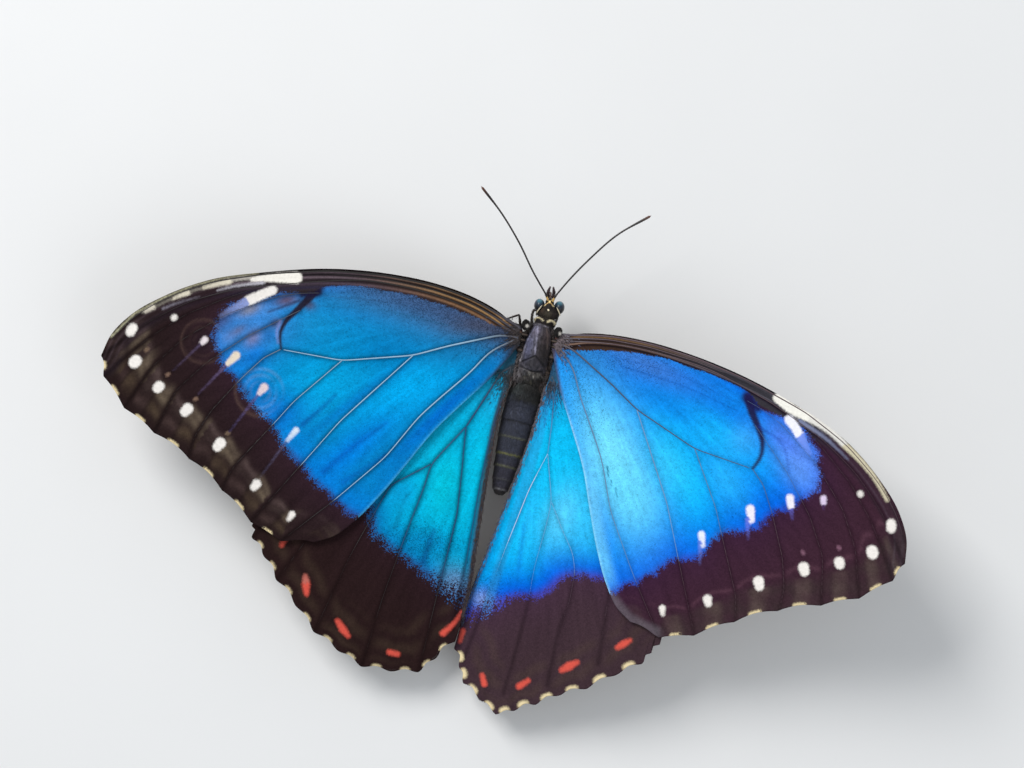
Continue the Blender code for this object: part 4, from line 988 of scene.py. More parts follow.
def wing_finish(name, ragged, mark_edge):
    """Scales over a wing: the blue broken up at its border, light marks on top, every scale its own
    tone."""
    made, tree, shader = new_finish(name, 0.6, Specular_IOR_Level=0.02)
    flat = read(tree, "flat", "Vector")
    scale_tone = flat.cells(7)
    other_tone = flat.cells(8.5)
    cloud = flat.noise(0.55, 4)
    fine = flat.noise(2.4, 3)
    ray = read(tree, "ray", "Vector").noise(1, 3)
    wander = (cloud - 0.5) * ragged
    streak = (ray - 0.5) * (ragged * 1.6)
    scatter = (scale_tone - 0.5) * read(tree, "grain", "Fac")
    in_blue = (read(tree, "blue", "Fac") + wander + (scatter + streak)).stepped(-0.42, 0.42)
    speckle = (other_tone - read(tree, "dust", "Fac")).stepped(-0.03, 0.05)
    tone = scale_tone * 0.24 + fine * 0.4
    tone = tone + ray * 0.5
    haze = (flat.noise(0.7, 4) - 0.5) * 0.5
    blue = read(tree, "ground").scaled(tone + haze + 0.43)
    blue = blue.scaled(speckle.spread(0.42, 0.58))
    dark = read(tree, "shade").scaled(tone + 0.43)
    paint = in_blue.mixed(dark, blue)
    soft = (fine - 0.5) * 0.14
    soft = soft + (scale_tone - 0.5) * 0.1
    light = (read(tree, "light", "Fac") + soft).stepped(-mark_edge, mark_edge)
    light = light * read(tree, "mark", "Alpha")
    mark = read(tree, "mark").scaled(fine.spread(0.3, 0.84))
    light.mixed(paint, mark).into(shader, "Base Color")
    in_blue.stepped(0, 1, 0.7, 0.55).into(shader, "Roughness")
    bumped(shader, scale_tone + fine * 1.5, 0.00003)
    return made


def under_finish():
    """The brown underside: ringed eyespots over a mottled ground."""
    made, tree, shader = new_finish("wing underside", 0.6, Specular_IOR_Level=0.15)
    flat = read(tree, "flat", "Vector")
    scale_tone = flat.cells(7)
    fine = flat.noise(1.8, 4)
    ring = read(tree, "ring", "Fac") + (fine - 0.5) * 0.1
    tone = scale_tone.spread(0.2, fine.spread(0.5, 0.62))
    paint = read(tree, "ground")
    for edge, shade in EYE_RINGS:
        paint = ring.stepped(edge - 0.03, edge + 0.03, 1, 0).mixed(paint, (*linear(shade), 1))
    paint.scaled(tone).into(shader, "Base Color")
    bumped(shader, scale_tone + fine, 0.00003)
    return made


def painted_finish(name, roughness, grain, depth, spread=0.5):
    """A finish that takes its colour from the piece's own paint, mottled finely and slightly rough to the
    touch."""
    made, tree, shader = new_finish(name, roughness)
    where = object_places(tree)
    fine = where.noise(grain, 3)
    broad = where.noise(grain * 0.2)
    tone = fine * spread + broad.spread(spread, 1 - spread)
    read(tree, "paint").scaled(tone).into(shader, "Base Color")
    fine.stepped(0.3, 0.7, roughness - 0.08, roughness + 0.08).into(shader, "Roughness")
    bumped(shader, fine, depth)
    return made


def skin_finish():
    """The body's skin: its own paint, streaked along the body and leathery to the touch."""
    made, tree, shader = new_finish("skin", 0.55, Specular_IOR_Level=0.25)
    where = object_places(tree)
    along = node(tree, "ShaderNodeMapping", {"Vector": where, "Scale": (1, 0.3, 1)})
    streaks = along.noise(4200, 4)
    broad = where.noise(1500, 4)
    tone = streaks * 1.5 + broad.spread(1.5, -0.5)
    read(tree, "paint").scaled(tone).into(shader, "Base Color")
    bumped(shader, streaks + broad, 0.00006, 0.8)
    return made


def eye_finish():
    """A dark compound eye: a fine honeycomb under a clear gloss, over its paint with its painted teal
    highlight towards the front and top.
    """
    gloss = {"Coat_Weight": 0.25, "Coat_Roughness": 0.2, "Specular_IOR_Level": 0.35}
    made, tree, shader = new_finish("eye", 0.34, **gloss)
    where = object_places(tree)
    facet = node(tree, "ShaderNodeTexVoronoi", {"Vector": where, "Scale": 14000})
    tone = where.noise(900).spread(1, 0.5)
    read(tree, "paint").scaled(tone).into(shader, "Base Color")
    bumped(shader, facet, 0.00001, 0.3)
    return made


# ---- meshes

def fill(mesh, places, quads, triangles=None):
    """Puts whole arrays of places and faces into a mesh."""
    triangles = np.zeros((0, 3), int) if triangles is None else triangles
    corners = np.r_[quads.ravel(), triangles.ravel()].astype(np.int32)
    starts = np.r_[np.arange(len(quads)) * 4, len(quads) * 4 + np.arange(len(triangles)) * 3]
    mesh.vertices.add(len(places))
    mesh.vertices.foreach_set("co", in_metres(places).astype(np.float32).ravel())
    mesh.loops.add(len(corners))
    mesh.loops.foreach_set("vertex_index", corners)
    mesh.polygons.add(len(starts))
    mesh.polygons.foreach_set("loop_start", starts.astype(np.int32))
    mesh.update(calc_edges=True)


def add_values(mesh, name, values, kind="FLOAT_COLOR", key="color"):
    """Values for the places of the mesh: colours, unless another kind is named."""
    if kind == "FLOAT_COLOR" and values.shape[-1] == 3:
        values = np.concatenate([values, np.ones((len(values), 1))], axis=1)
    made = mesh.attributes.new(name, kind, "POINT")
    made.data.foreach_set(key, values.astype(np.float32).ravel())


def add_unwrap(mesh, corners):
    """The piece's bake map: one pair of numbers for each corner of each face."""
    mesh.uv_layers.new(name="OFBake").uv.foreach_set("vector", corners.astype(np.float32).ravel())


def put_in(name, data):
    """Puts a mesh, a lamp or a camera into the scene."""
    made = bpy.data.objects.new(name, data)
    bpy.context.scene.collection.objects.link(made)
    return made


def add_piece(name, mesh, nodes=()):
    """Makes the object, hides the CAD nodes it stands for, and lets it ride on the body."""
    mesh.polygons.foreach_set("use_smooth", np.full(len(mesh.polygons), True))
    piece = put_in(name, mesh)
    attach(piece, "root")
    if nodes:
        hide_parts(*nodes)


def painted_piece(name, places, quads, fans, paint, finish, slot, nodes=(), chart=None):
    """A piece from its places, faces, paint for each place and, if it has one, its bake map."""
    mesh = bpy.data.meshes.new(name)
    fill(mesh, places, quads, fans)
    if chart is not None:
        add_unwrap(mesh, chart)
    add_values(mesh, "paint", paint)
    mesh.materials.append(finish)
    add_piece(name, mesh, nodes)


def grid_quads(rows, columns, around=False):
    """Faces of a grid of places, row after row; `around` joins the last column to the first."""
    number = np.arange(rows * columns).reshape(rows, columns)
    ahead = np.roll(number, -1, axis=1) if around else number[:, 1:]
    here = number if around else number[:, :-1]
    return np.stack([here[:-1], here[1:], ahead[1:], ahead[:-1]], axis=-1).reshape(-1, 4)


def end_fans(rows, columns):
    """The faces that close the first and the last row of a grid that runs around: each a fan round one of
    the two places that come after the grid."""
    ring = np.arange(columns)
    ahead = np.roll(ring, -1)
    base = (rows - 1) * columns
    first = np.stack([ring, ahead, np.full(columns, rows * columns)], axis=1)
    last = np.stack([base + ahead, base + ring, np.full(columns, rows * columns + 1)], axis=1)
    return np.r_[first, last]


def closed_tube(path, radii, sides, flatten=1):
    """A tube's places and faces: a circle across the path's direction at each of its places, of its own
    radius and `flatten` times as high, and a fan over each end."""
    ahead = unit(np.gradient(path, axis=0))
    across = unit(np.cross(ahead, (0, 0, 1)))[:, None, :]
    upward = np.cross(across[:, 0], ahead)[:, None, :]
    angle = (np.arange(sides) * TURN / sides)[None, :, None]
    ring = np.cos(angle) * across + np.sin(angle) * upward * flatten
    grid = path[:, None, :] + radii[:, None, None] * ring
    places = np.r_[grid.reshape(-1, 3), path[:1], path[-1:]]
    return places, grid_quads(len(grid), sides, around=True)[:, ::-1], end_fans(len(grid), sides)[:, ::-1]


def joined(parts):
    """Several (places, quads, triangles) as one."""
    places, quads, fans, total = [], [], [], 0
    for these, four, three in parts:
        places.append(these)
        quads.append(four + total)
        fans.append(three + total)
        total += len(these)
    return np.concatenate(places), np.concatenate(quads), np.concatenate(fans)


def ball_grid(rows, columns):
    """A unit ball whose poles lie along y: places, quads and the two closing fans."""
    latitude = np.linspace(0, math.pi, rows + 2)[1:-1, None]
    longitude = (np.arange(columns) * TURN / columns)[None, :]
    grid = np.stack([np.sin(latitude) * np.cos(longitude), -np.cos(latitude) * np.ones_like(longitude),
                     np.sin(latitude) * np.sin(longitude)], axis=-1)
    places = np.r_[grid.reshape(-1, 3), [(0, -1, 0)], [(0, 1, 0)]]
    return places, grid_quads(rows, columns, around=True), end_fans(rows, columns)


def outward(places, quads, fans, middle):
    """Faces turned so that most of them look away from the middle."""
    a, b, c = places[quads[:, 0]], places[quads[:, 1]], places[quads[:, 2]]
    facing = np.sum(np.cross(b - a, c - a) * (a - np.asarray(middle)), axis=1).sum()
    return (quads[:, ::-1], fans[:, ::-1]) if facing < 0 else (quads, fans)


# ---- tufts

def tufts(name, roots, ahead, upward, length, width, paint, unwrap, finish, slot, lift=0.18, curl=0):
    """One tuft at each root: a three-sided blade that rises a little, bends back along the coat and ends in
    a point. It is painted darker at its root and lighter along its upper edge and at its tip: painted shade
    and highlight. Its map is a patch 0.003 across at the root's place on the unwrap."""
    count = len(roots)
    ahead = unit(ahead)
    aside = unit(np.cross(upward, ahead))
    sizes = (length, width, lift, curl)
    length, width, lift, curl = (np.broadcast_to(each, count)[:, None] for each in sizes)

    def along_blade(along, rise):
        return (roots + ahead * length * along + upward * length * lift * rise
                + aside * curl * length * max(along, 0) ** 2)
    rings = []
    for along, rise, size in ((-0.06, -0.35, 1), (0.5, 0.8, 0.8)):
        middle = along_blade(along, rise)
        rings += [middle + aside * width * size * 0.5, middle - aside * width * size * 0.5,
                  middle + upward * width * size * 0.4]
    places = np.stack([*rings, along_blade(1, 0.9)], axis=1).reshape(-1, 3)
    first = (np.arange(count) * 7)[:, None]
    quads = np.r_[first + [0, 1, 4, 3], first + [1, 2, 5, 4], first + [2, 0, 3, 5]]
    fans = np.r_[first + [2, 1, 0], first + [3, 4, 6], first + [4, 5, 6], first + [5, 3, 6]]
    one = np.array([(-1, -1), (1, -1), (0, 1), (-0.5, -0.4), (0.5, -0.4), (0, 0.6), (0, 0.1)]) * 0.0015
    where = (unwrap[:, None, :] + one[None]).reshape(-1, 2)
    # Painted shade and highlight: dark at the root, lighter on the upper edge and lighter still at the tip.
    painted_shading = np.array([0.6, 0.6, 0.75, 0.95, 0.95, 1.05, 1.2])
    shades = (paint[:, None, :] * painted_shading[None, :, None]).reshape(-1, 3)
    chart = where[np.r_[quads.ravel(), fans.ravel()]]
    painted_piece(name, places, quads, fans, shades, finish, slot, chart=chart)


# ---- wings

def wing_map(name, flat, pad=0.012):
    """The bake map of a wing's upper side: its flat plan laid into half of the square. The underside takes
    the other half, beside it. Gives the places on the map, and how much one millimetre is there."""
    edge = tips_of(name).tolist() + (FORE_LEAD if name.startswith("fore") else HIND_LEAD + HIND_TRAIL)
    low, high = np.min(edge, axis=0) - 0.6, np.max(edge, axis=0) + 0.6
    halves = np.array((1, 0.5) if name.startswith("fore") else (0.5, 1)) - 2 * pad
    return pad + (flat - low) / (high - low) * halves, halves / (high - low)


def wing_flat(name):
    """A wing's flat places on its full grid."""
    if name.startswith("fore"):
        return wing_plan(FORE_LEAD, FORE_TIPS, FORE_TRAIL, many(250), many(20))
    flat = wing_plan(HIND_LEAD, HIND_TIPS, HIND_TRAIL, many(240), many(26))
    return drawn_back(flat) if name.endswith("right") else flat


def wing_lift(flat, ridge, crease):
    """How far a wing's middle skin stands off its sheet: up along the veins, down along the creases, and a
    sway of two slow waves."""
    x, y = flat[..., 0], flat[..., 1]
    sway = 0.06 * np.sin(0.33 * x + 0.21 * y) + 0.05 * np.sin(0.5 * y - 0.17 * x + 1)
    return 0.06 * ridge - 0.5 * crease + sway


def wing(name, upper_finish, lower_finish):
    """A wing as one closed skin: two layers of the same grid, WING_SKIN apart, and a wall round their
    edge."""
    flat = wing_flat(name)
    rows, columns = flat.shape[:2]
    upper, ridge, crease = upper_paint(name, flat)
    lower = under_paint(name, flat)
    upper["ring"] = np.full(flat.shape[:-1], 9.0)
    lift = wing_lift(flat, ridge, crease)
    layers = [on_body(name, flat, lift + side * WING_SKIN / 2).reshape(-1, 3) for side in (1, -1)]
    places = np.concatenate(layers)
    count = rows * columns
    number = np.arange(count).reshape(rows, columns)
    rim = np.r_[number[:-1, 0], number[-1, :-1], number[:0:-1, -1], number[0, :0:-1]]
    ahead = np.roll(rim, -1)
    face = grid_quads(rows, columns)
    edge = np.c_[rim, rim + count, ahead + count, ahead]
    quads = np.r_[face, (face + count)[:, ::-1], edge]
    points = flat.reshape(-1, 2)
    chart, size = wing_map(name, points)
    beside = np.array((0, 0.5) if name.startswith("fore") else (0.5, 0))
    loop = points[rim]
    onward = np.roll(loop, -1, axis=0) - np.roll(loop, 1, axis=0)
    turning = np.sign(np.sum(loop[:, 0] * np.roll(loop[:, 1], -1) - np.roll(loop[:, 0], -1) * loop[:, 1]))
    away = turning * np.c_[onward[:, 1], -onward[:, 0]]
    away = away / (np.linalg.norm(onward, axis=1)[:, None] + 1e-9)
    outer = chart[rim] + away * WING_SKIN * size
    wall = np.stack([chart[rim], outer, np.roll(outer, -1, axis=0), chart[ahead]], axis=1)
    charts = np.r_[chart[face], chart[face[:, ::-1]] + beside, wall]
    a, b, c = places[face[:, 0]], places[face[:, 1]], places[face[:, 2]]
    if np.cross(b - a, c - a)[:, 2].sum() < 0:
        quads, charts = quads[:, ::-1], charts[:, ::-1]
    mesh = bpy.data.meshes.new(name)
    fill(mesh, places, quads)
    add_unwrap(mesh, charts.reshape(-1, 2))
    turn = np.arctan2(points[:, 0] + 2, points[:, 1] + 8)
    ray = np.c_[turn * 42, np.hypot(points[:, 0], points[:, 1]) * 0.12, points[:, 0] * 0]
    add_values(mesh, "ray", np.r_[ray, ray], "FLOAT_VECTOR", "vector")
    level = np.column_stack([points, np.zeros(count)])
    add_values(mesh, "flat", np.r_[level, level + (0, 0, UNDER_SHIFT)], "FLOAT_VECTOR", "vector")
    for key in ("blue", "grain", "dust", "light", "ring"):
        add_values(mesh, key, np.r_[upper[key].ravel(), lower[key].ravel()], "FLOAT", "value")
    for key in ("ground", "shade", "mark"):
        both = [layer[key].reshape(-1, layer[key].shape[-1]) for layer in (upper, lower)]
        add_values(mesh, key, np.concatenate(both))
    mesh.materials.append(upper_finish)
    mesh.materials.append(lower_finish)
    under = np.zeros(len(quads), np.int32)
    under[len(face):2 * len(face)] = 1
    mesh.polygons.foreach_set("material_index", under)
    add_piece(name, mesh, [name])


def wing_veins(name, finish):
    """A wing's veins: flattened tubes half sunk in its upper side, stout at the root and thinning
    outwards."""
    outline = (FORE_BLUE if name.startswith("fore") else HIND_BLUE)[name.split("_")[1]]
    pale, dusky, in_dark = (linear(shade) for shade in VEIN_SHADES[name])
    parts, paints = [], []
    steps = 2 * VEIN_STEPS
    for (path, thick, thin), paleness in zip(veins_of(name), VEIN_PALE[name]):
        line = bent_line(path, VEIN_STEPS)
        line = straight_through(np.linspace(0, VEIN_STEPS - 1, steps), line)
        from_root = np.hypot(*line.T)
        radii = np.linspace(thick, thin, steps) * (0.8 + 0.2 * np.exp(-from_root / 2.5)) * VEIN_STOUT[name]
        radii[-3:] *= (0.9, 0.7, 0.3)
        lift = wing_lift(line, 1, 0) + WING_SKIN / 2 - 0.03
        parts.append(closed_tube(on_body(name, line, lift), radii, 6, 0.5))
        share = ramp(depth_in(line, outline), -0.4, 0.7)
        paint = blend(in_dark, dusky * (1 - paleness) + pale * paleness, share)
        paint = blend(paint, "4A4650" if name.startswith("fore") else "2A3238", 0.95 * bell(from_root, 5))
        paints.append(ring_paint(paint, 6))
    painted_piece(name + "_veins", *joined(parts), np.concatenate(paints), finish, "wing")


def wing_tufts(piece, name, roots, ahead, length, width, paint, finish, lift=0.2, curl=0, lower=0):
    """Tufts rooted on a wing's upper side and lying along it. `roots` and `ahead` are flat."""
    ahead = unit(ahead)
    height = wing_lift(roots, 0, 0) + WING_SKIN / 2 - lower
    start = on_body(name, roots, height)
    end = on_body(name, roots + ahead * 0.1, height)
    aside = on_body(name, roots + np.c_[ahead[:, 1], -ahead[:, 0]] * 0.1, height)
    upward = unit(np.cross(end - start, aside - start))
    upward *= np.sign(upward[:, 2:3])
    chart, _ = wing_map(name, roots)
    tufts(piece, start, end - start, upward, length, width, paint, chart, finish, "wing", lift, curl)


def margin_fringe(name, finish):
    """Short tufts round the outer margin: cream in the hollows, dark at the vein ends."""
    tips = tips_of(name)
    count = many(75) * (len(tips) - 1)
    at = np.sort(RANDOM.uniform(0.02, len(tips) - 1.02, count))
    line = scalloped(tips, at)
    beyond = scalloped(tips, np.minimum(at + 0.01, len(tips) - 1.001)) - line
    outward_way = unit(np.c_[beyond[:, 1], -beyond[:, 0]])
    outward_way *= np.sign(np.sum(outward_way * (line - np.mean(tips, axis=0) * 0.5), axis=1))[:, None]
    if name.startswith("fore"):
        pale = (np.abs(at % 1.0 - 0.5) < 0.11) & (at < len(tips) - 2)
    else:
        pale = (np.abs(np.abs(at % 1.0 - 0.5) - 0.25) < 0.1) & (at > 1.0)
    paint = np.where(pale[:, None], linear(CREAM), linear(DARKS[name][0]) * 0.9)
    paint = paint * RANDOM.uniform(0.75, 1.2, (count, 1))
    ahead = outward_way + RANDOM.normal(0, 0.18, (count, 2))
    length = RANDOM.uniform(0.22, 0.31, count)
    wing_tufts(name + "_fringe", name, line - outward_way * 0.28, ahead, length, 0.13, paint, finish, 0.05,
               lower=WING_SKIN / 2)


def root_hair(name, finish):
    """Soft hair over the first few millimetres of a wing, longest at the root and lying outwards and
    back."""
    count = many(560 if name.startswith("fore") else 420)
    out = RANDOM.gamma(1.3, 0.6, count)
    if name.startswith("fore"):
        lean = RANDOM.uniform(-0.25, 1, count)
        roots = np.c_[out - 0.5, -0.9 + lean * (1.6 + out * 1.1)]
        ahead = np.c_[np.ones(count), 0.1 + lean * 1.1]
        near, far = ("342C2C", "2C5C88") if name.endswith("left") else ("6E6266", "4A74A8")
    else:
        lean = RANDOM.random(count) ** 1.5
        roots = np.c_[0.7 + lean * (2.2 + out * 0.2), -0.2 + out * 2.2]
        ahead = np.c_[0.1 + lean * 0.6, np.ones(count)]
        near, far = ("2C2A2C", "108CAC") if name.endswith("left") else ("3C3C44", "1C98DC")
    ahead = ahead + RANDOM.normal(0, 0.12, (count, 2))
    reach = ramp(np.hypot(*roots.T), 0.5, 6)
    paint = blend(near, far, reach) * RANDOM.uniform(0.3, 1.6, (count, 1))
    length = RANDOM.uniform(0.5, 1, count) * (1 - 0.45 * reach)
    wing_tufts(name + "_root_hair", name, roots, ahead, length, 0.085, paint, finish, 0.16,
               RANDOM.normal(0, 0.12, count))


def inner_fringe(name, finish):
    """Longer hair along a hindwing's inner edge, combed back; on the right it spreads over the abdomen."""
    side = name.split("_")[1]
    count = many(1100)
    edge = path_through(HIND_TRAIL, 400)
    if side == "right":
        edge = drawn_back(edge)
    share = RANDOM.uniform(0.02, 0.9, count)
    line = straight_through(share * (len(edge) - 1), edge)
    inset = RANDOM.random(count)[:, None] ** 2
    roots = line + inset * (0.45, 0)
    inward = 0.15 if side == "left" else 0.45
    ahead = np.c_[np.full(count, -inward) * (1 - inset[:, 0]), np.ones(count)]
    ahead = ahead + RANDOM.normal(0, 0.13, (count, 2))
    first, last = ("4A3C3C", "443A3C") if side == "left" else ("6A6068", "4A5870")
    paint = blend(first, last, share) * RANDOM.uniform(0.6, 1.35, (count, 1))
    wing_tufts(name + "_inner_fringe", name, roots, ahead, RANDOM.uniform(0.5, 1, count), 0.07, paint,
               finish, 0.1, RANDOM.normal(0, 0.1, count))


# ---- body

def on_head(places):
    """Body places of places measured from the head's middle, turned with the head."""
    places = np.asarray(places, float)
    x, y = turned(places[..., 0], places[..., 1], math.radians(HEAD_TURN))
    return np.stack([x, y, places[..., 2]], axis=-1) + HEAD_AT


def seams(y, aside):
    """Depth of the grooves between the plates on the thorax's back: its middle line, the rim of the shield,
    the roof-shaped seam behind it and the one behind the scutellum. Each is a bell curve of the distance
    from it."""
    shield = np.interp(y, [-3.8, -3.4, -2.6, -1.2, 0.2, 1.4], [0.9, 1.3, 1.66, 2, 2.1, 2.05])
    on_shield = ramp(y, -3.8, -3.4) * (1 - ramp(y, 1.2, 1.8))
    depth = 0.05 * bell(aside, 0.1) * on_shield * (y < 0.7)
    depth = np.maximum(depth, 0.16 * bell(aside - shield, 0.14) * on_shield)
    depth = np.maximum(depth, 0.24 * bell(y - 0.7 - 0.7 * aside, 0.13) * (aside < 1.9))
    return np.maximum(depth, 0.22 * bell(y - 3 + 0.2 * aside, 0.14) * (aside < 1.7))


def body_surface(row, turn):
    """The skin from face to tail: an oval across the body at each row, pressed in along the thorax's seams,
    stepped at each segment of the abdomen, and turned with the head in front of the neck."""
    rings = np.array(BODY_RINGS)
    row, turn = np.broadcast_arrays(np.asarray(row, float), np.asarray(turn, float))
    section = smooth_through(row, np.arange(len(rings)), rings)
    y, x, z, wide, high = np.moveaxis(section, -1, 0)
    across, top = np.cos(turn), np.sin(turn)
    above = ramp(top, 0, 0.5)
    aside = np.abs(across * wide)
    edges = np.array([4.8, *SEGMENTS, 21.7])
    part = np.interp(y, edges, np.arange(len(edges))) % 1.0
    grow = np.where(y > 4.8, SEGMENT_STEP * (part**3 - 0.4), 0)
    grow -= above * seams(y, aside)
    grow += above * 0.16 * np.exp(-(((y - 2.3) / 0.5) ** 2) - (aside / 0.7) ** 2)
    folds = np.sin(y * 6 + 2 + 2.4 * across) * np.sin(across * wide * 3.4 + 1.2 * np.sin(3 * y) + 1)
    grow += above * 0.14 * folds * ramp(y, 2.8, 3.2) * (1 - ramp(y, 4.3, 4.7))
    wrinkle = np.sin(9 * across * wide + 1.6 * np.sin(1.4 * y)) * np.sin(0.9 * y + 2 * across)
    grow += above * 0.03 * wrinkle * ramp(y, -3.7, -3.2) * (1 - ramp(y, 2.6, 3))
    grow *= ramp(wide, 0.15, 0.7)
    wide, high = np.maximum(wide, 0), np.maximum(high, 0)
    size_out = np.where(wide > 0.05, wide + grow, wide)
    size_up = np.where(high > 0.05, high + grow, high)
    x, z = x + across * size_out, z + top * size_up
    spin = math.radians(HEAD_TURN) * ramp(-y, 4.9, 5.8)
    x, y = turned(x - HEAD_AT[0], y - HEAD_AT[1], spin)
    return np.stack([HEAD_AT[0] + x, HEAD_AT[1] + y, z], axis=-1)


def even_rows(count):
    """Row numbers spaced evenly by distance along the body's back."""
    fine = np.linspace(0, len(BODY_RINGS) - 1, 3000)
    back = body_surface(fine, math.pi / 2)
    travelled = lengths_along(back)
    return np.interp(np.linspace(0, travelled[-1], count), travelled, fine)


ROW_TABLE = even_rows(1200)


def row_of(share):
    """The row of the body at a share of the length of its back."""
    return np.interp(share, np.linspace(0, 1, len(ROW_TABLE)), ROW_TABLE)


def spot(places, middle, size):
    """A soft ball of influence: 1 at its middle, falling away as a bell curve."""
    return np.exp(-np.sum(((places - np.array(middle)) / np.array(size)) ** 2, axis=-1))


def body_paint(places):
    """Colour of the body's skin, and of the coat on it, from where each place lies along and across the
    body. It holds painted light on the thorax: highlight on the side the key lamp lights, and shade in the
    grooves between the plates."""
    x, y, z = np.moveaxis(places, -1, 0)
    height = ramp(z - middle_height(y), -0.8, 1.4)
    paint = linear("1A1413")
    # On the thorax the top's lighter blue is partly painted sheen.
    for start, blur, below, over in BODY_ZONES:
        zone = blend(below, over, height)
        paint = blend(paint, zone, ramp(y, start - blur / 2, start + blur / 2))
    for edge, shade, strength in SEGMENT_EDGES:
        paint = blend(paint, shade, strength * bell(y - edge + 0.1, 0.14) * height)
    # Among these patches are painted highlights on the lit left side and partly painted shade on the right.
    for middle, size, shade, strength in BODY_PATCHES:
        paint = blend(paint, shade, strength * spot(places, middle, size))
    flat = np.stack([x, y], axis=-1)
    back = ramp(z - middle_height(y), 0.5, 1.2)
    # The pale streaks on the middle ridge, the shield's left rim and the left flank are painted highlight.
    for path, half, shade, strength in BACK_STREAKS:
        gap, along = line_distance(flat, path_through(path, 12))
        share = strength * bell(gap, half) * (0.7 + 0.3 * np.sin(along * 17 + path[0][0]))
        paint = blend(paint, shade, share * back)
    mottle = np.sin(7.3 * x + 2.2 * np.sin(3.1 * y)) * np.sin(8.1 * y + 1.7 * np.sin(4.3 * x))
    paint = paint * (1 + 0.6 * mottle * ramp(y, 2.4, 3) * (1 - ramp(y, 4.4, 5)))[..., None]
    # Darker along the grooves between the thorax's plates: partly the seams' own dark and partly painted
    # shade in the grooves.
    paint = paint * (1 - 3.4 * np.minimum(seams(y, np.abs(x)), 0.25) * back)[..., None]
    own = np.stack(turned(x - HEAD_AT[0], y - HEAD_AT[1], -math.radians(HEAD_TURN)), axis=-1)
    on_top = ramp(z - HEAD_AT[2], -0.2, 0.4)
    for path, half, shade in CROWN_LINES:
        gap, _ = line_distance(own, path_through(path, 8))
        paint = blend(paint, shade, 0.97 * bell(gap, half, 4) * on_top)
    for path, half in COLLAR_LINES:
        gap, _ = line_distance(flat, path_through(path, 12))
        paint = blend(paint, "F0E4C0", 0.97 * bell(gap, half, 4) * ramp(z - 7.5, 0, 0.4))
    return paint


def middle_height(y):
    """Height of the body's middle line at each place along it."""
    return np.interp(y, [ring[0] for ring in BODY_RINGS], [ring[2] for ring in BODY_RINGS])


def body_skin(finish):
    """One closed skin over head, neck, thorax and abdomen, with a fan of faces at the face and at the
    tail."""
    rows, columns = many(330), many(100)
    share = np.linspace(0, 1, rows + 2)[1:-1]
    turn = -math.pi / 2 + np.arange(columns) * TURN / columns
    grid = body_surface(row_of(share)[:, None], turn[None, :])
    ends = body_surface(np.array([0, len(BODY_RINGS) - 1]), 0)
    places = np.r_[grid.reshape(-1, 3), ends]
    quads = grid_quads(rows, columns, around=True)[:, ::-1]
    here = np.stack(np.meshgrid(on_map(np.arange(columns) / columns), on_map(share)), -1)
    onward = here + ((1 - 2 * MAP_RIM) / columns, 0)
    half = (here[0, :, 0] + onward[0, :, 0]) / 2
    face = np.stack([onward[:-1], onward[1:], here[1:], here[:-1]], axis=2)
    front = np.stack([np.stack([half, 0 * half + MAP_RIM], -1), onward[0], here[0]], axis=1)
    rear = np.stack([np.stack([half, 0 * half + 1 - MAP_RIM], -1), here[-1], onward[-1]], axis=1)
    chart = np.concatenate([part.reshape(-1, 2) for part in (face, front, rear)])
    fans = end_fans(rows, columns)[:, ::-1]
    nodes = ["head", "collar", "thorax", "abdomen"]
    painted_piece("body_skin", places, quads, fans, body_paint(places), finish, "body", nodes, chart)


def body_chart(turn, share):
    """Places on the body skin's bake map: across it by the turn round the body, and down it by the
    share."""
    round_it = ((turn + math.pi / 2) % TURN) / TURN
    return np.c_[on_map(round_it), on_map(share)]


def body_coat(name, first, last, count, width, finish, lift=0.22, spread=0.16, droop=0, shaggy=0):
    """Tufts over the body between two shares of its length, combed towards the tail; `droop` turns those on
    the flanks downwards and `shaggy` lengthens them. The coat's row in COAT_LENGTHS gives the length for
    places along the body."""
    share = RANDOM.uniform(first, last, many(count))
    turn = RANDOM.uniform(-math.pi / 2, 1.5 * math.pi, len(share))
    row = row_of(share)
    girth = smooth_through(row, np.arange(len(BODY_RINGS)), np.array(BODY_RINGS))[:, 3]
    at = body_surface(row, turn)
    kept = RANDOM.uniform(0, 2.4, len(share)) < girth
    kept &= (seams(at[:, 1], np.abs(at[:, 0])) < 0.08) | (np.sin(turn) < 0.5)
    on_shield = (np.sin(turn) > 0.45) & (at[:, 1] > -3.7) & (at[:, 1] < 2.9)
    kept &= ~on_shield | (RANDOM.random(len(share)) < 0.3)
    share, turn, row = share[kept], turn[kept], row[kept]
    roots = body_surface(row, turn)
    behind, before = np.minimum(share + 0.004, 1), share - 0.004
    along = unit(body_surface(row_of(behind), turn) - body_surface(row_of(before), turn))
    round_it = unit(body_surface(row, turn + 0.03) - body_surface(row, turn - 0.03))
    upward = unit(np.cross(along, round_it))
    level = np.cos(turn)
    sideways = RANDOM.normal(0, spread, len(share)) - droop * level * ramp(np.abs(level), 0.5, 1)
    ahead = along + round_it * sideways[:, None]
    y = roots[:, 1]
    length = np.interp(y, *COAT_LENGTHS[name]) * RANDOM.uniform(0.75, 1.25, len(share))
    length = length * (1 + shaggy * level**4)
    paint = body_paint(roots) * RANDOM.uniform(0.7, 1.35, (len(share), 1))
    tufts(name, roots, ahead, upward, length, width, paint, body_chart(turn, share), finish, "body", lift,
          RANDOM.normal(0, 0.1, len(share)))


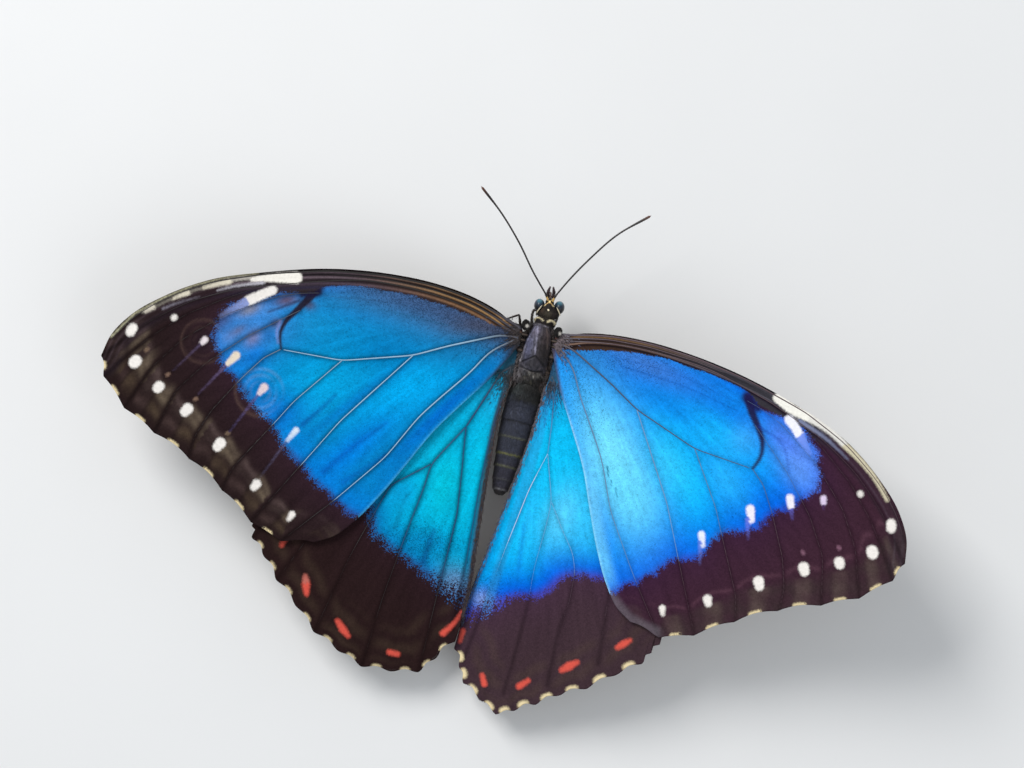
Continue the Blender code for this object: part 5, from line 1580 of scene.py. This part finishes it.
def oval(name, middle, size, rows, columns, paint_of, finish, slot, nodes=(), place_it=None):
    """An egg: a ball of radius 1 stretched by its three half sizes and put in place. `paint_of` gives the
    colours of places on that ball."""
    ball, quads, fans = ball_grid(rows, columns)
    places = ball * size + middle
    if place_it:
        places = place_it(places)
    quads, fans = outward(places, quads, fans, places.mean(axis=0))
    painted_piece(name, places, quads, fans, paint_of(ball), finish, slot, nodes)


def eye(side, finish):
    """A compound eye in painted light: dark, lighter and then teal as a painted highlight towards the front
    and top of its curve, and darker purple at its outer rim.
    """
    def paint_of(ball):
        # Painted highlight: lighter, then teal, the more a place faces front and up.
        lit = ball @ np.array([0, -0.75, 0.5])
        paint = blend("080A12", "16283A", ramp(lit, 0.15, 0.6))
        paint = blend(paint, "42788A", 0.9 * ramp(lit, 0.6, 0.95))
        rim = ball @ np.array([SIDES[side] * 0.9, -0.4, 0.1])
        return blend(paint, "1A1438", 0.7 * ramp(rim, 0.75, 0.95))
    middle = np.array((SIDES[side] * (EYE_OUT + 0.01), -EYE_FORWARD, 0))
    oval("eye_" + side, middle, EYE_SIZE, 40, 56, paint_of, finish, "eye", ["eye_" + side], on_head)


def tegula(side, finish, fur):
    """The small shell over a forewing's root: dark, with a white spot, under a short coat of its own."""
    middle = np.array((SIDES[side] * TEGULA_AT[0], TEGULA_AT[1], TEGULA_AT[2]))
    size = np.array(TEGULA_SIZE)

    def paint_of(ball):
        pale = (ball - (-0.5, 0, 0.85)) / (0.42, 0.32, 0.7)
        return blend("181312", "F0EAE2", 0.97 * np.exp(-np.sum(pale**4, axis=-1)))
    oval("tegula_" + side, middle, size, 20, 28, paint_of, finish, "body", ["tegula_" + side])
    count = many(900)
    ball = RANDOM.normal(size=(count, 3))
    ball[:, 2] = np.abs(ball[:, 2])
    ball = unit(ball)
    upward = unit(ball / size)
    ahead = np.array((SIDES[side] * 0.35, 1, 0)) + RANDOM.normal(0, 0.15, (count, 3))
    ahead -= upward * np.sum(ahead * upward, axis=1)[:, None]
    paint = paint_of(ball) * RANDOM.uniform(0.7, 1.3, (count, 1))
    length = RANDOM.uniform(0.2, 0.42, count)
    tufts("tegula_coat_" + side, ball * size * 0.97 + middle, ahead, upward, length, 0.05, paint,
          0.5 + 0.44 * ball[:, :2], fur, "body", 0.15, RANDOM.normal(0, 0.2, count))


def ring_paint(paint, sides):
    """Paint for a closed tube's places from one colour for each place on its path."""
    return np.r_[np.repeat(paint, sides, axis=0), paint[:1], paint[-1:]]


def tube_piece(name, path, radii, sides, paint, finish, slot="limb", nodes=()):
    """A limb: rings round a path, closed at both ends. `paint` is one colour, or one for each place on the
    path."""
    paint = np.broadcast_to(linear(paint) if isinstance(paint, str) else paint, (len(path), 3))
    painted_piece(name, *closed_tube(path, radii, sides), ring_paint(paint, sides), finish, slot, nodes)


def tufts_on_path(name, path, radii, count, lengths, width, shades, finish, slot="limb", lift=0.2):
    """Tufts all round a limb, combed towards its far end: each as long as a random number between two
    lengths, and between two shades."""
    count = many(count)
    length = RANDOM.uniform(*lengths, count)
    share = RANDOM.uniform(0.02, 0.97, count)
    at = share * (len(path) - 1)
    middle = straight_through(at, path)
    ahead = unit(straight_through(at, np.gradient(path, axis=0)))
    around = unit(np.cross(ahead, (0, 0, 1)))
    turn = RANDOM.uniform(0, TURN, count)[:, None]
    upward = np.cos(turn) * around + np.sin(turn) * np.cross(around, ahead)
    size = np.interp(at, np.arange(len(path)), radii)[:, None]
    paint = blend(*shades, RANDOM.random(count) ** 2)
    chart = np.c_[on_map(turn[:, 0] / TURN), on_map(share)]
    ahead = ahead + RANDOM.normal(0, 0.12, (count, 3))
    roots = middle + upward * size * 0.92
    tufts(name, roots, ahead, upward, length, width, paint, chart, finish, slot, lift)


def antenna(side, finish):
    """A feeler: a foot in golden scales let into the crown, then a fine ringed stem that swells into a
    club."""
    path = path_through(ANTENNA_PATHS[side], 260)
    along = np.linspace(0, 1, len(path))
    radii = 0.125 * (1 + 0.1 * np.cos(along * TURN * 46)) + 0.055 * ramp(along, 0.78, 0.93)
    radii *= 1 - 0.9 * ramp(along, 0.975, 1)
    radii[:6] *= np.linspace(1.5, 1, 6)
    band = (0.5 + 0.5 * np.cos(along * TURN * 46))[:, None]
    paint = linear("1C1415") * (0.7 + 0.6 * band) + ramp(along, 0.9, 1)[:, None] * linear("6A3A22") * 0.6
    foot = np.linspace((-0.3 + 0.3 * SIDES[side], -7.25, 8.35), path[0], 12, endpoint=False)
    path = np.r_[foot, path]
    radii = np.r_[np.linspace(0.13, 0.16, 12), radii]
    paint = np.r_[[linear("D2AC68")] * 10, paint[:1], paint[:1], paint]
    tube_piece("antenna_" + side, path, radii, 10, paint, finish, nodes=["antenna_" + side])


def brow(side, finish, fur):
    """The cream line of scales along the inner and rear rim of an eye."""
    path = on_head(path_through(np.array(BROW_PATH) * (SIDES[side], 1, 1), 40))
    radii = np.interp(np.linspace(0, 1, 40), [0, 0.2, 0.7, 1], [0.03, 0.065, 0.07, 0.04])
    tube_piece("brow_" + side, path, radii, 10, "F0E4CC", finish, "body")
    tufts_on_path("brow_scales_" + side, path, radii, 200, (0.08, 0.14), 0.035,
                  ("E0CFA4", "FFF8E6"), fur, "body", 0.15)


def shoulder_hair(finish):
    """Long dark hair rooted on the thorax's flanks beside the shield, lying outwards and back towards the
    wing roots, and longest round the waist. Some hairs are pale, more of them on the left flank, where they
    are a painted highlight of the key lamp."""
    count = many(7000)
    share = RANDOM.uniform(0.16, 0.46, count)
    high = RANDOM.uniform(-0.1, 0.52, count)
    turn = np.where(RANDOM.random(count) < 0.5, high, math.pi - high)
    roots = body_surface(row_of(share), turn)
    upward = unit(roots * (1, 0, 1) - middle_height(roots[:, 1])[:, None] * (0, 0, 1))
    waist = ramp(roots[:, 1], 2.2, 3.6)
    spreads = ((0.2, 1), (0.4, 1.2), (0, 0.5))
    ahead = np.stack([RANDOM.uniform(low, high, count) for low, high in spreads], axis=1)
    ahead[:, 0] *= np.sign(roots[:, 0]) * (1 - 0.4 * waist)
    paint = blend("16100F", "5E5049", RANDOM.random(count) ** 3)
    # Painted highlight: more of the hairs on the left flank, where the key lamp falls, are painted pale.
    sunlit = (roots[:, 0] > 0) * ramp(roots[:, 1], -0.6, 0.4) * (1 - ramp(roots[:, 1], 3.6, 4.6))
    paint = blend(paint, "A49CA0", 0.8 * (RANDOM.random(count) < 0.12 + 0.45 * sunlit))
    length = RANDOM.uniform(0.5, 1.05, count) * (1 + 0.25 * waist)
    chart = body_chart(turn, share)
    tufts("shoulder_hair", roots, ahead, upward, length, 0.05, paint, chart, finish, "body", 0.14,
          RANDOM.normal(0, 0.16, count))


def palp(side, finish, fur):
    """A palp in front of the face: a short bent stem that narrows to a point, in a close dark coat."""
    path = on_head(path_through(np.array(PALP_PATH) * (SIDES[side], 1, 1), 30))
    radii = np.interp(np.linspace(0, 1, 30), [0, 0.5, 0.75, 1], [0.2, 0.22, 0.13, 0.05])
    tube_piece("palp_" + side, path, radii, 12, "3A2A22", finish, nodes=["palp_" + side])
    tufts_on_path("palp_coat_" + side, path, radii, 420, (0.14, 0.26), 0.06, ("181315", "6E5660"), fur)


def tongue(finish):
    """The coiled tongue: a short stem from the mouth, then a spiral of a little over two turns, upright
    under the face."""
    turn = np.linspace(0, 2.35 * TURN, 220)
    reach = 0.83 - 0.62 * turn / turn[-1]
    path = np.c_[0 * turn, -0 + reach * np.cos(turn + 1.9), reach * np.sin(turn + 1.9)]
    stem = path_through([(0, 0.62, 1.5), (0, 0.3, 1.04), tuple(path[0])], 20)
    path = on_head(np.r_[stem[:-1], path] + TONGUE_AT)
    radii = np.linspace(0.12, 0.07, 220) * (1 + 0.06 * np.cos(turn * 14))
    radii = np.r_[np.linspace(0.2, 0.12, 19), radii]
    tube_piece("proboscis", path, radii, 10, "4A2C1C", finish, nodes=["proboscis"])


def leg(name, finish, fur):
    """A walking leg: a swollen femur, a spiny tibia and a foot of five joints that lies on the floor."""
    part, side = name.split("_")
    hip, knee, ankle, toe = (np.array(point) for point in LEG_POINTS[name])
    along = np.linspace(0, 1, 40)[:, None]
    dark = blend("2C211E", "17110F", along[:, 0])
    coxa = path_through([hip * (0.5, 1, 1) + (0, -0.1, 1.5), hip * (0.82, 1, 1) + (0, 0, 0.7), hip], 24)
    femur = hip + (knee - hip) * along * 0.985
    tibia = knee + (ankle - knee) * along
    kinds = zip(LEG_PARTS, (coxa, femur, tibia), ("241B19", dark, dark * 0.9))
    for (kind, at, thick, grown, count, lengths, width, shades, lift), path, paint in kinds:
        name = f"{part}_{kind}_{side}"
        radii = np.interp(np.linspace(0, 1, len(path)), at, thick)
        tube_piece(name, path, radii, 12, paint, finish, nodes=[] if kind == "coxa" else [name])
        grown_name = f"{part}_{kind}_{grown}_{side}"
        tufts_on_path(grown_name, path, radii, count, lengths, width, shades, fur, lift=lift)
    flat_way = (toe - ankle) * (1, 1, 0)
    below = ankle * (1, 1, 0)
    foot_path = path_through([ankle, below + flat_way * 0.1 + (0, 0, 0.3),
                              below + flat_way * 0.24 + (0, 0, 0.16), toe * (1, 1, 0) + (0, 0, 0.16)], 120)
    foot_path[:, 2] = np.maximum(foot_path[:, 2], 0.165)
    share = np.linspace(0, 1, 120)
    joints = np.abs(((share * 5) % 1.0) - 0.5) * 2
    thick = (0.155 - 0.02 * share) * (1 - 0.22 * joints**6)
    thick[-1] *= 0.4
    tarsus = f"{part}_tarsus_{side}"
    tube_piece(tarsus, foot_path, thick, 10, "1C1513", finish, nodes=[tarsus])
    ahead = flat_way / np.linalg.norm(flat_way)
    aside = np.array([-ahead[1], ahead[0], 0])
    for number, turn in enumerate((-1, 1)):
        root = foot_path[-1] - ahead * 0.05
        claw = path_through([root, root + ahead * 0.06 + aside * turn * 0.1 + (0, 0, 0.06),
                             root - ahead * 0.02 + aside * turn * 0.17 + (0, 0, -0.1)], 14)
        tube_piece(f"{part}_claw_{side}_{number}", claw, np.linspace(0.055, 0.012, 14), 6, "120D0C", finish)


def foreleg(side, finish, fur):
    """The short foreleg folded against the breast, in long soft hair."""
    shoulder = (0.8 * SIDES[side], -2.9, 6.3)
    path = path_through([shoulder, *FORELEG_PATHS[side]], 72)
    radii = np.interp(np.linspace(0, 1, 72), [0, 0.2, 0.4, 0.75, 1], [0.32, 0.24, 0.15, 0.11, 0.06])
    tube_piece("foreleg_" + side, path, radii, 10, "2A2220", finish, nodes=["foreleg_" + side])
    tufts_on_path("foreleg_coat_" + side, path, radii, 520, (0.2, 0.42), 0.06,
                  ("1E1A1A", "584E4A"), fur, lift=0.25)


def wing_roots(side, finish):
    """The small knots of shell by which the wings are hinged to the thorax, each with a painted highlight
    across its top.
    """
    def paint_of(ball):
        # Painted highlight: a lighter band across the top of each knot.
        return blend("1A1412", "6A5A50", 0.6 * bell(ball[:, 1] - 0.1, 0.2) * (ball[:, 2] > 0))

    knots = (((2.45, -1.95, 8.95), (0.75, 0.36, 0.3)), ((2.5, -1.15, 8.95), (0.6, 0.3, 0.26)),
             ((2.4, 0.3, 8.55), (0.5, 0.5, 0.25)), ((2.1, 2.6, 7.95), (0.55, 0.5, 0.3)))
    for number, (middle, size) in enumerate(knots):
        middle = np.array(middle) * (SIDES[side], 1, 1)
        oval(f"wing_root_{side}_{number}", middle, size, 14, 20, paint_of, finish, "body")


# ---- setting

def floor():
    """A plain pale floor with the faintest mottling."""
    mesh = bpy.data.meshes.new("floor")
    mesh.from_pydata([(-1.5, -1.5, 0), (1.5, -1.5, 0), (1.5, 1.5, 0), (-1.5, 1.5, 0)], [], [(0, 1, 2, 3)])
    made, tree, shader = new_finish("floor", 0.8)
    tone = object_places(tree).noise(40, 3).spread(0.05, 0.97)
    tone.mixed((0.2, 0.2, 0.2, 1), (0.78, 0.79, 0.8, 1)).into(shader, "Base Color")
    mesh.materials.append(made)
    plane = put_in("floor", mesh)


def lamp(name, place, size, power, shade=(1, 1, 1)):
    """A square soft light at a place in metres, facing the middle of the butterfly."""
    light = bpy.data.lights.new(name, "AREA")
    light.size = size
    light.energy = power
    light.color = shade
    made = put_in(name, light)
    made.location = place
    made.rotation_euler = aimed_down(place)


def aimed_down(place):
    """The turn that points a light's own -z from its place to the origin."""
    x, y, z = place
    return (math.atan2(math.hypot(x, y), z), 0, math.atan2(x, -y))


def camera():
    """Straight above, turned as the butterfly lies."""
    lens = bpy.data.cameras.new("camera")
    lens.lens = 135
    lens.sensor_width = 36
    lens.clip_end = 5
    lens.clip_start = 0.01
    made = put_in("camera", lens)
    made.location = CAMERA_AT
    made.rotation_euler = (0, 0, math.radians(CAMERA_TURN))
    bpy.context.scene.camera = made


def setting():
    """The room: plain colours, a pale sky light, two lamps, the floor and the camera."""
    scene = bpy.context.scene
    scene.view_settings.view_transform = "Standard"
    scene.view_settings.look = "None"
    world = bpy.data.worlds.new("room")
    scene.world = world
    world.use_nodes = True
    sky = world.node_tree.nodes["Background"].inputs
    sky["Color"].default_value = (0.92, 0.96, 1, 1)
    sky["Strength"].default_value = 0.5
    lamp("key", (0.36, -0.3, 0.5), 0.3, 3.4, (1, 0.98, 0.95))
    lamp("fill", (-0.4, 0.3, 0.5), 0.5, 0.8)
    floor()
    camera()


def build():
    """All finishes, then all pieces, in a set order, as each piece draws random numbers after the last."""
    underside = under_finish()
    veins = painted_finish("vein", 0.5, 1500, 0.00002, 0.3)
    hair = painted_finish("wing hair", 0.6, 2500, 0.00001, 0.3)
    fur = painted_finish("fur", 0.65, 2500, 0.00001, 0.3)
    skin = skin_finish()
    shell = painted_finish("shell", 0.4, 2600, 0.00002, 0.4)
    lens = eye_finish()
    for name in BLUES:
        softness = 0.24 if name.startswith("fore") else 0.3
        wing(name, wing_finish(name + " scales", EDGE[name][0], softness), underside)
        wing_veins(name, veins)
        margin_fringe(name, hair)
        root_hair(name, hair)
        if name.startswith("hind"):
            inner_fringe(name, hair)
    body_skin(skin)
    body_coat("head_coat", 0.02, 0.125, 7000, 0.045, fur, 0.35, 0.3)
    oval("crown_spot", np.array((0.07, 0.24, 1.24)), (0.17, 0.19, 0.14), 10, 16,
         lambda ball: np.broadcast_to(linear("F6E8C8"), ball.shape), fur, "body", (), on_head)
    body_coat("collar_coat", 0.115, 0.155, 4200, 0.05, fur, 0.3, 0.2)
    body_coat("thorax_coat", 0.15, 0.43, 17000, 0.045, fur, 0.2, 0.24, 0.4, 1.2)
    body_coat("abdomen_coat", 0.42, 0.985, 19000, 0.055, fur, 0.12, 0.12, 0, 0.6)
    tongue(shell)
    shoulder_hair(fur)
    for side in SIDES:
        eye(side, lens)
        brow(side, shell, fur)
        tegula(side, shell, fur)
        antenna(side, shell)
        palp(side, shell, fur)
        foreleg(side, shell, fur)
        wing_roots(side, skin)
    for name in LEG_POINTS:
        leg(name, shell, fur)
    setting()


build()
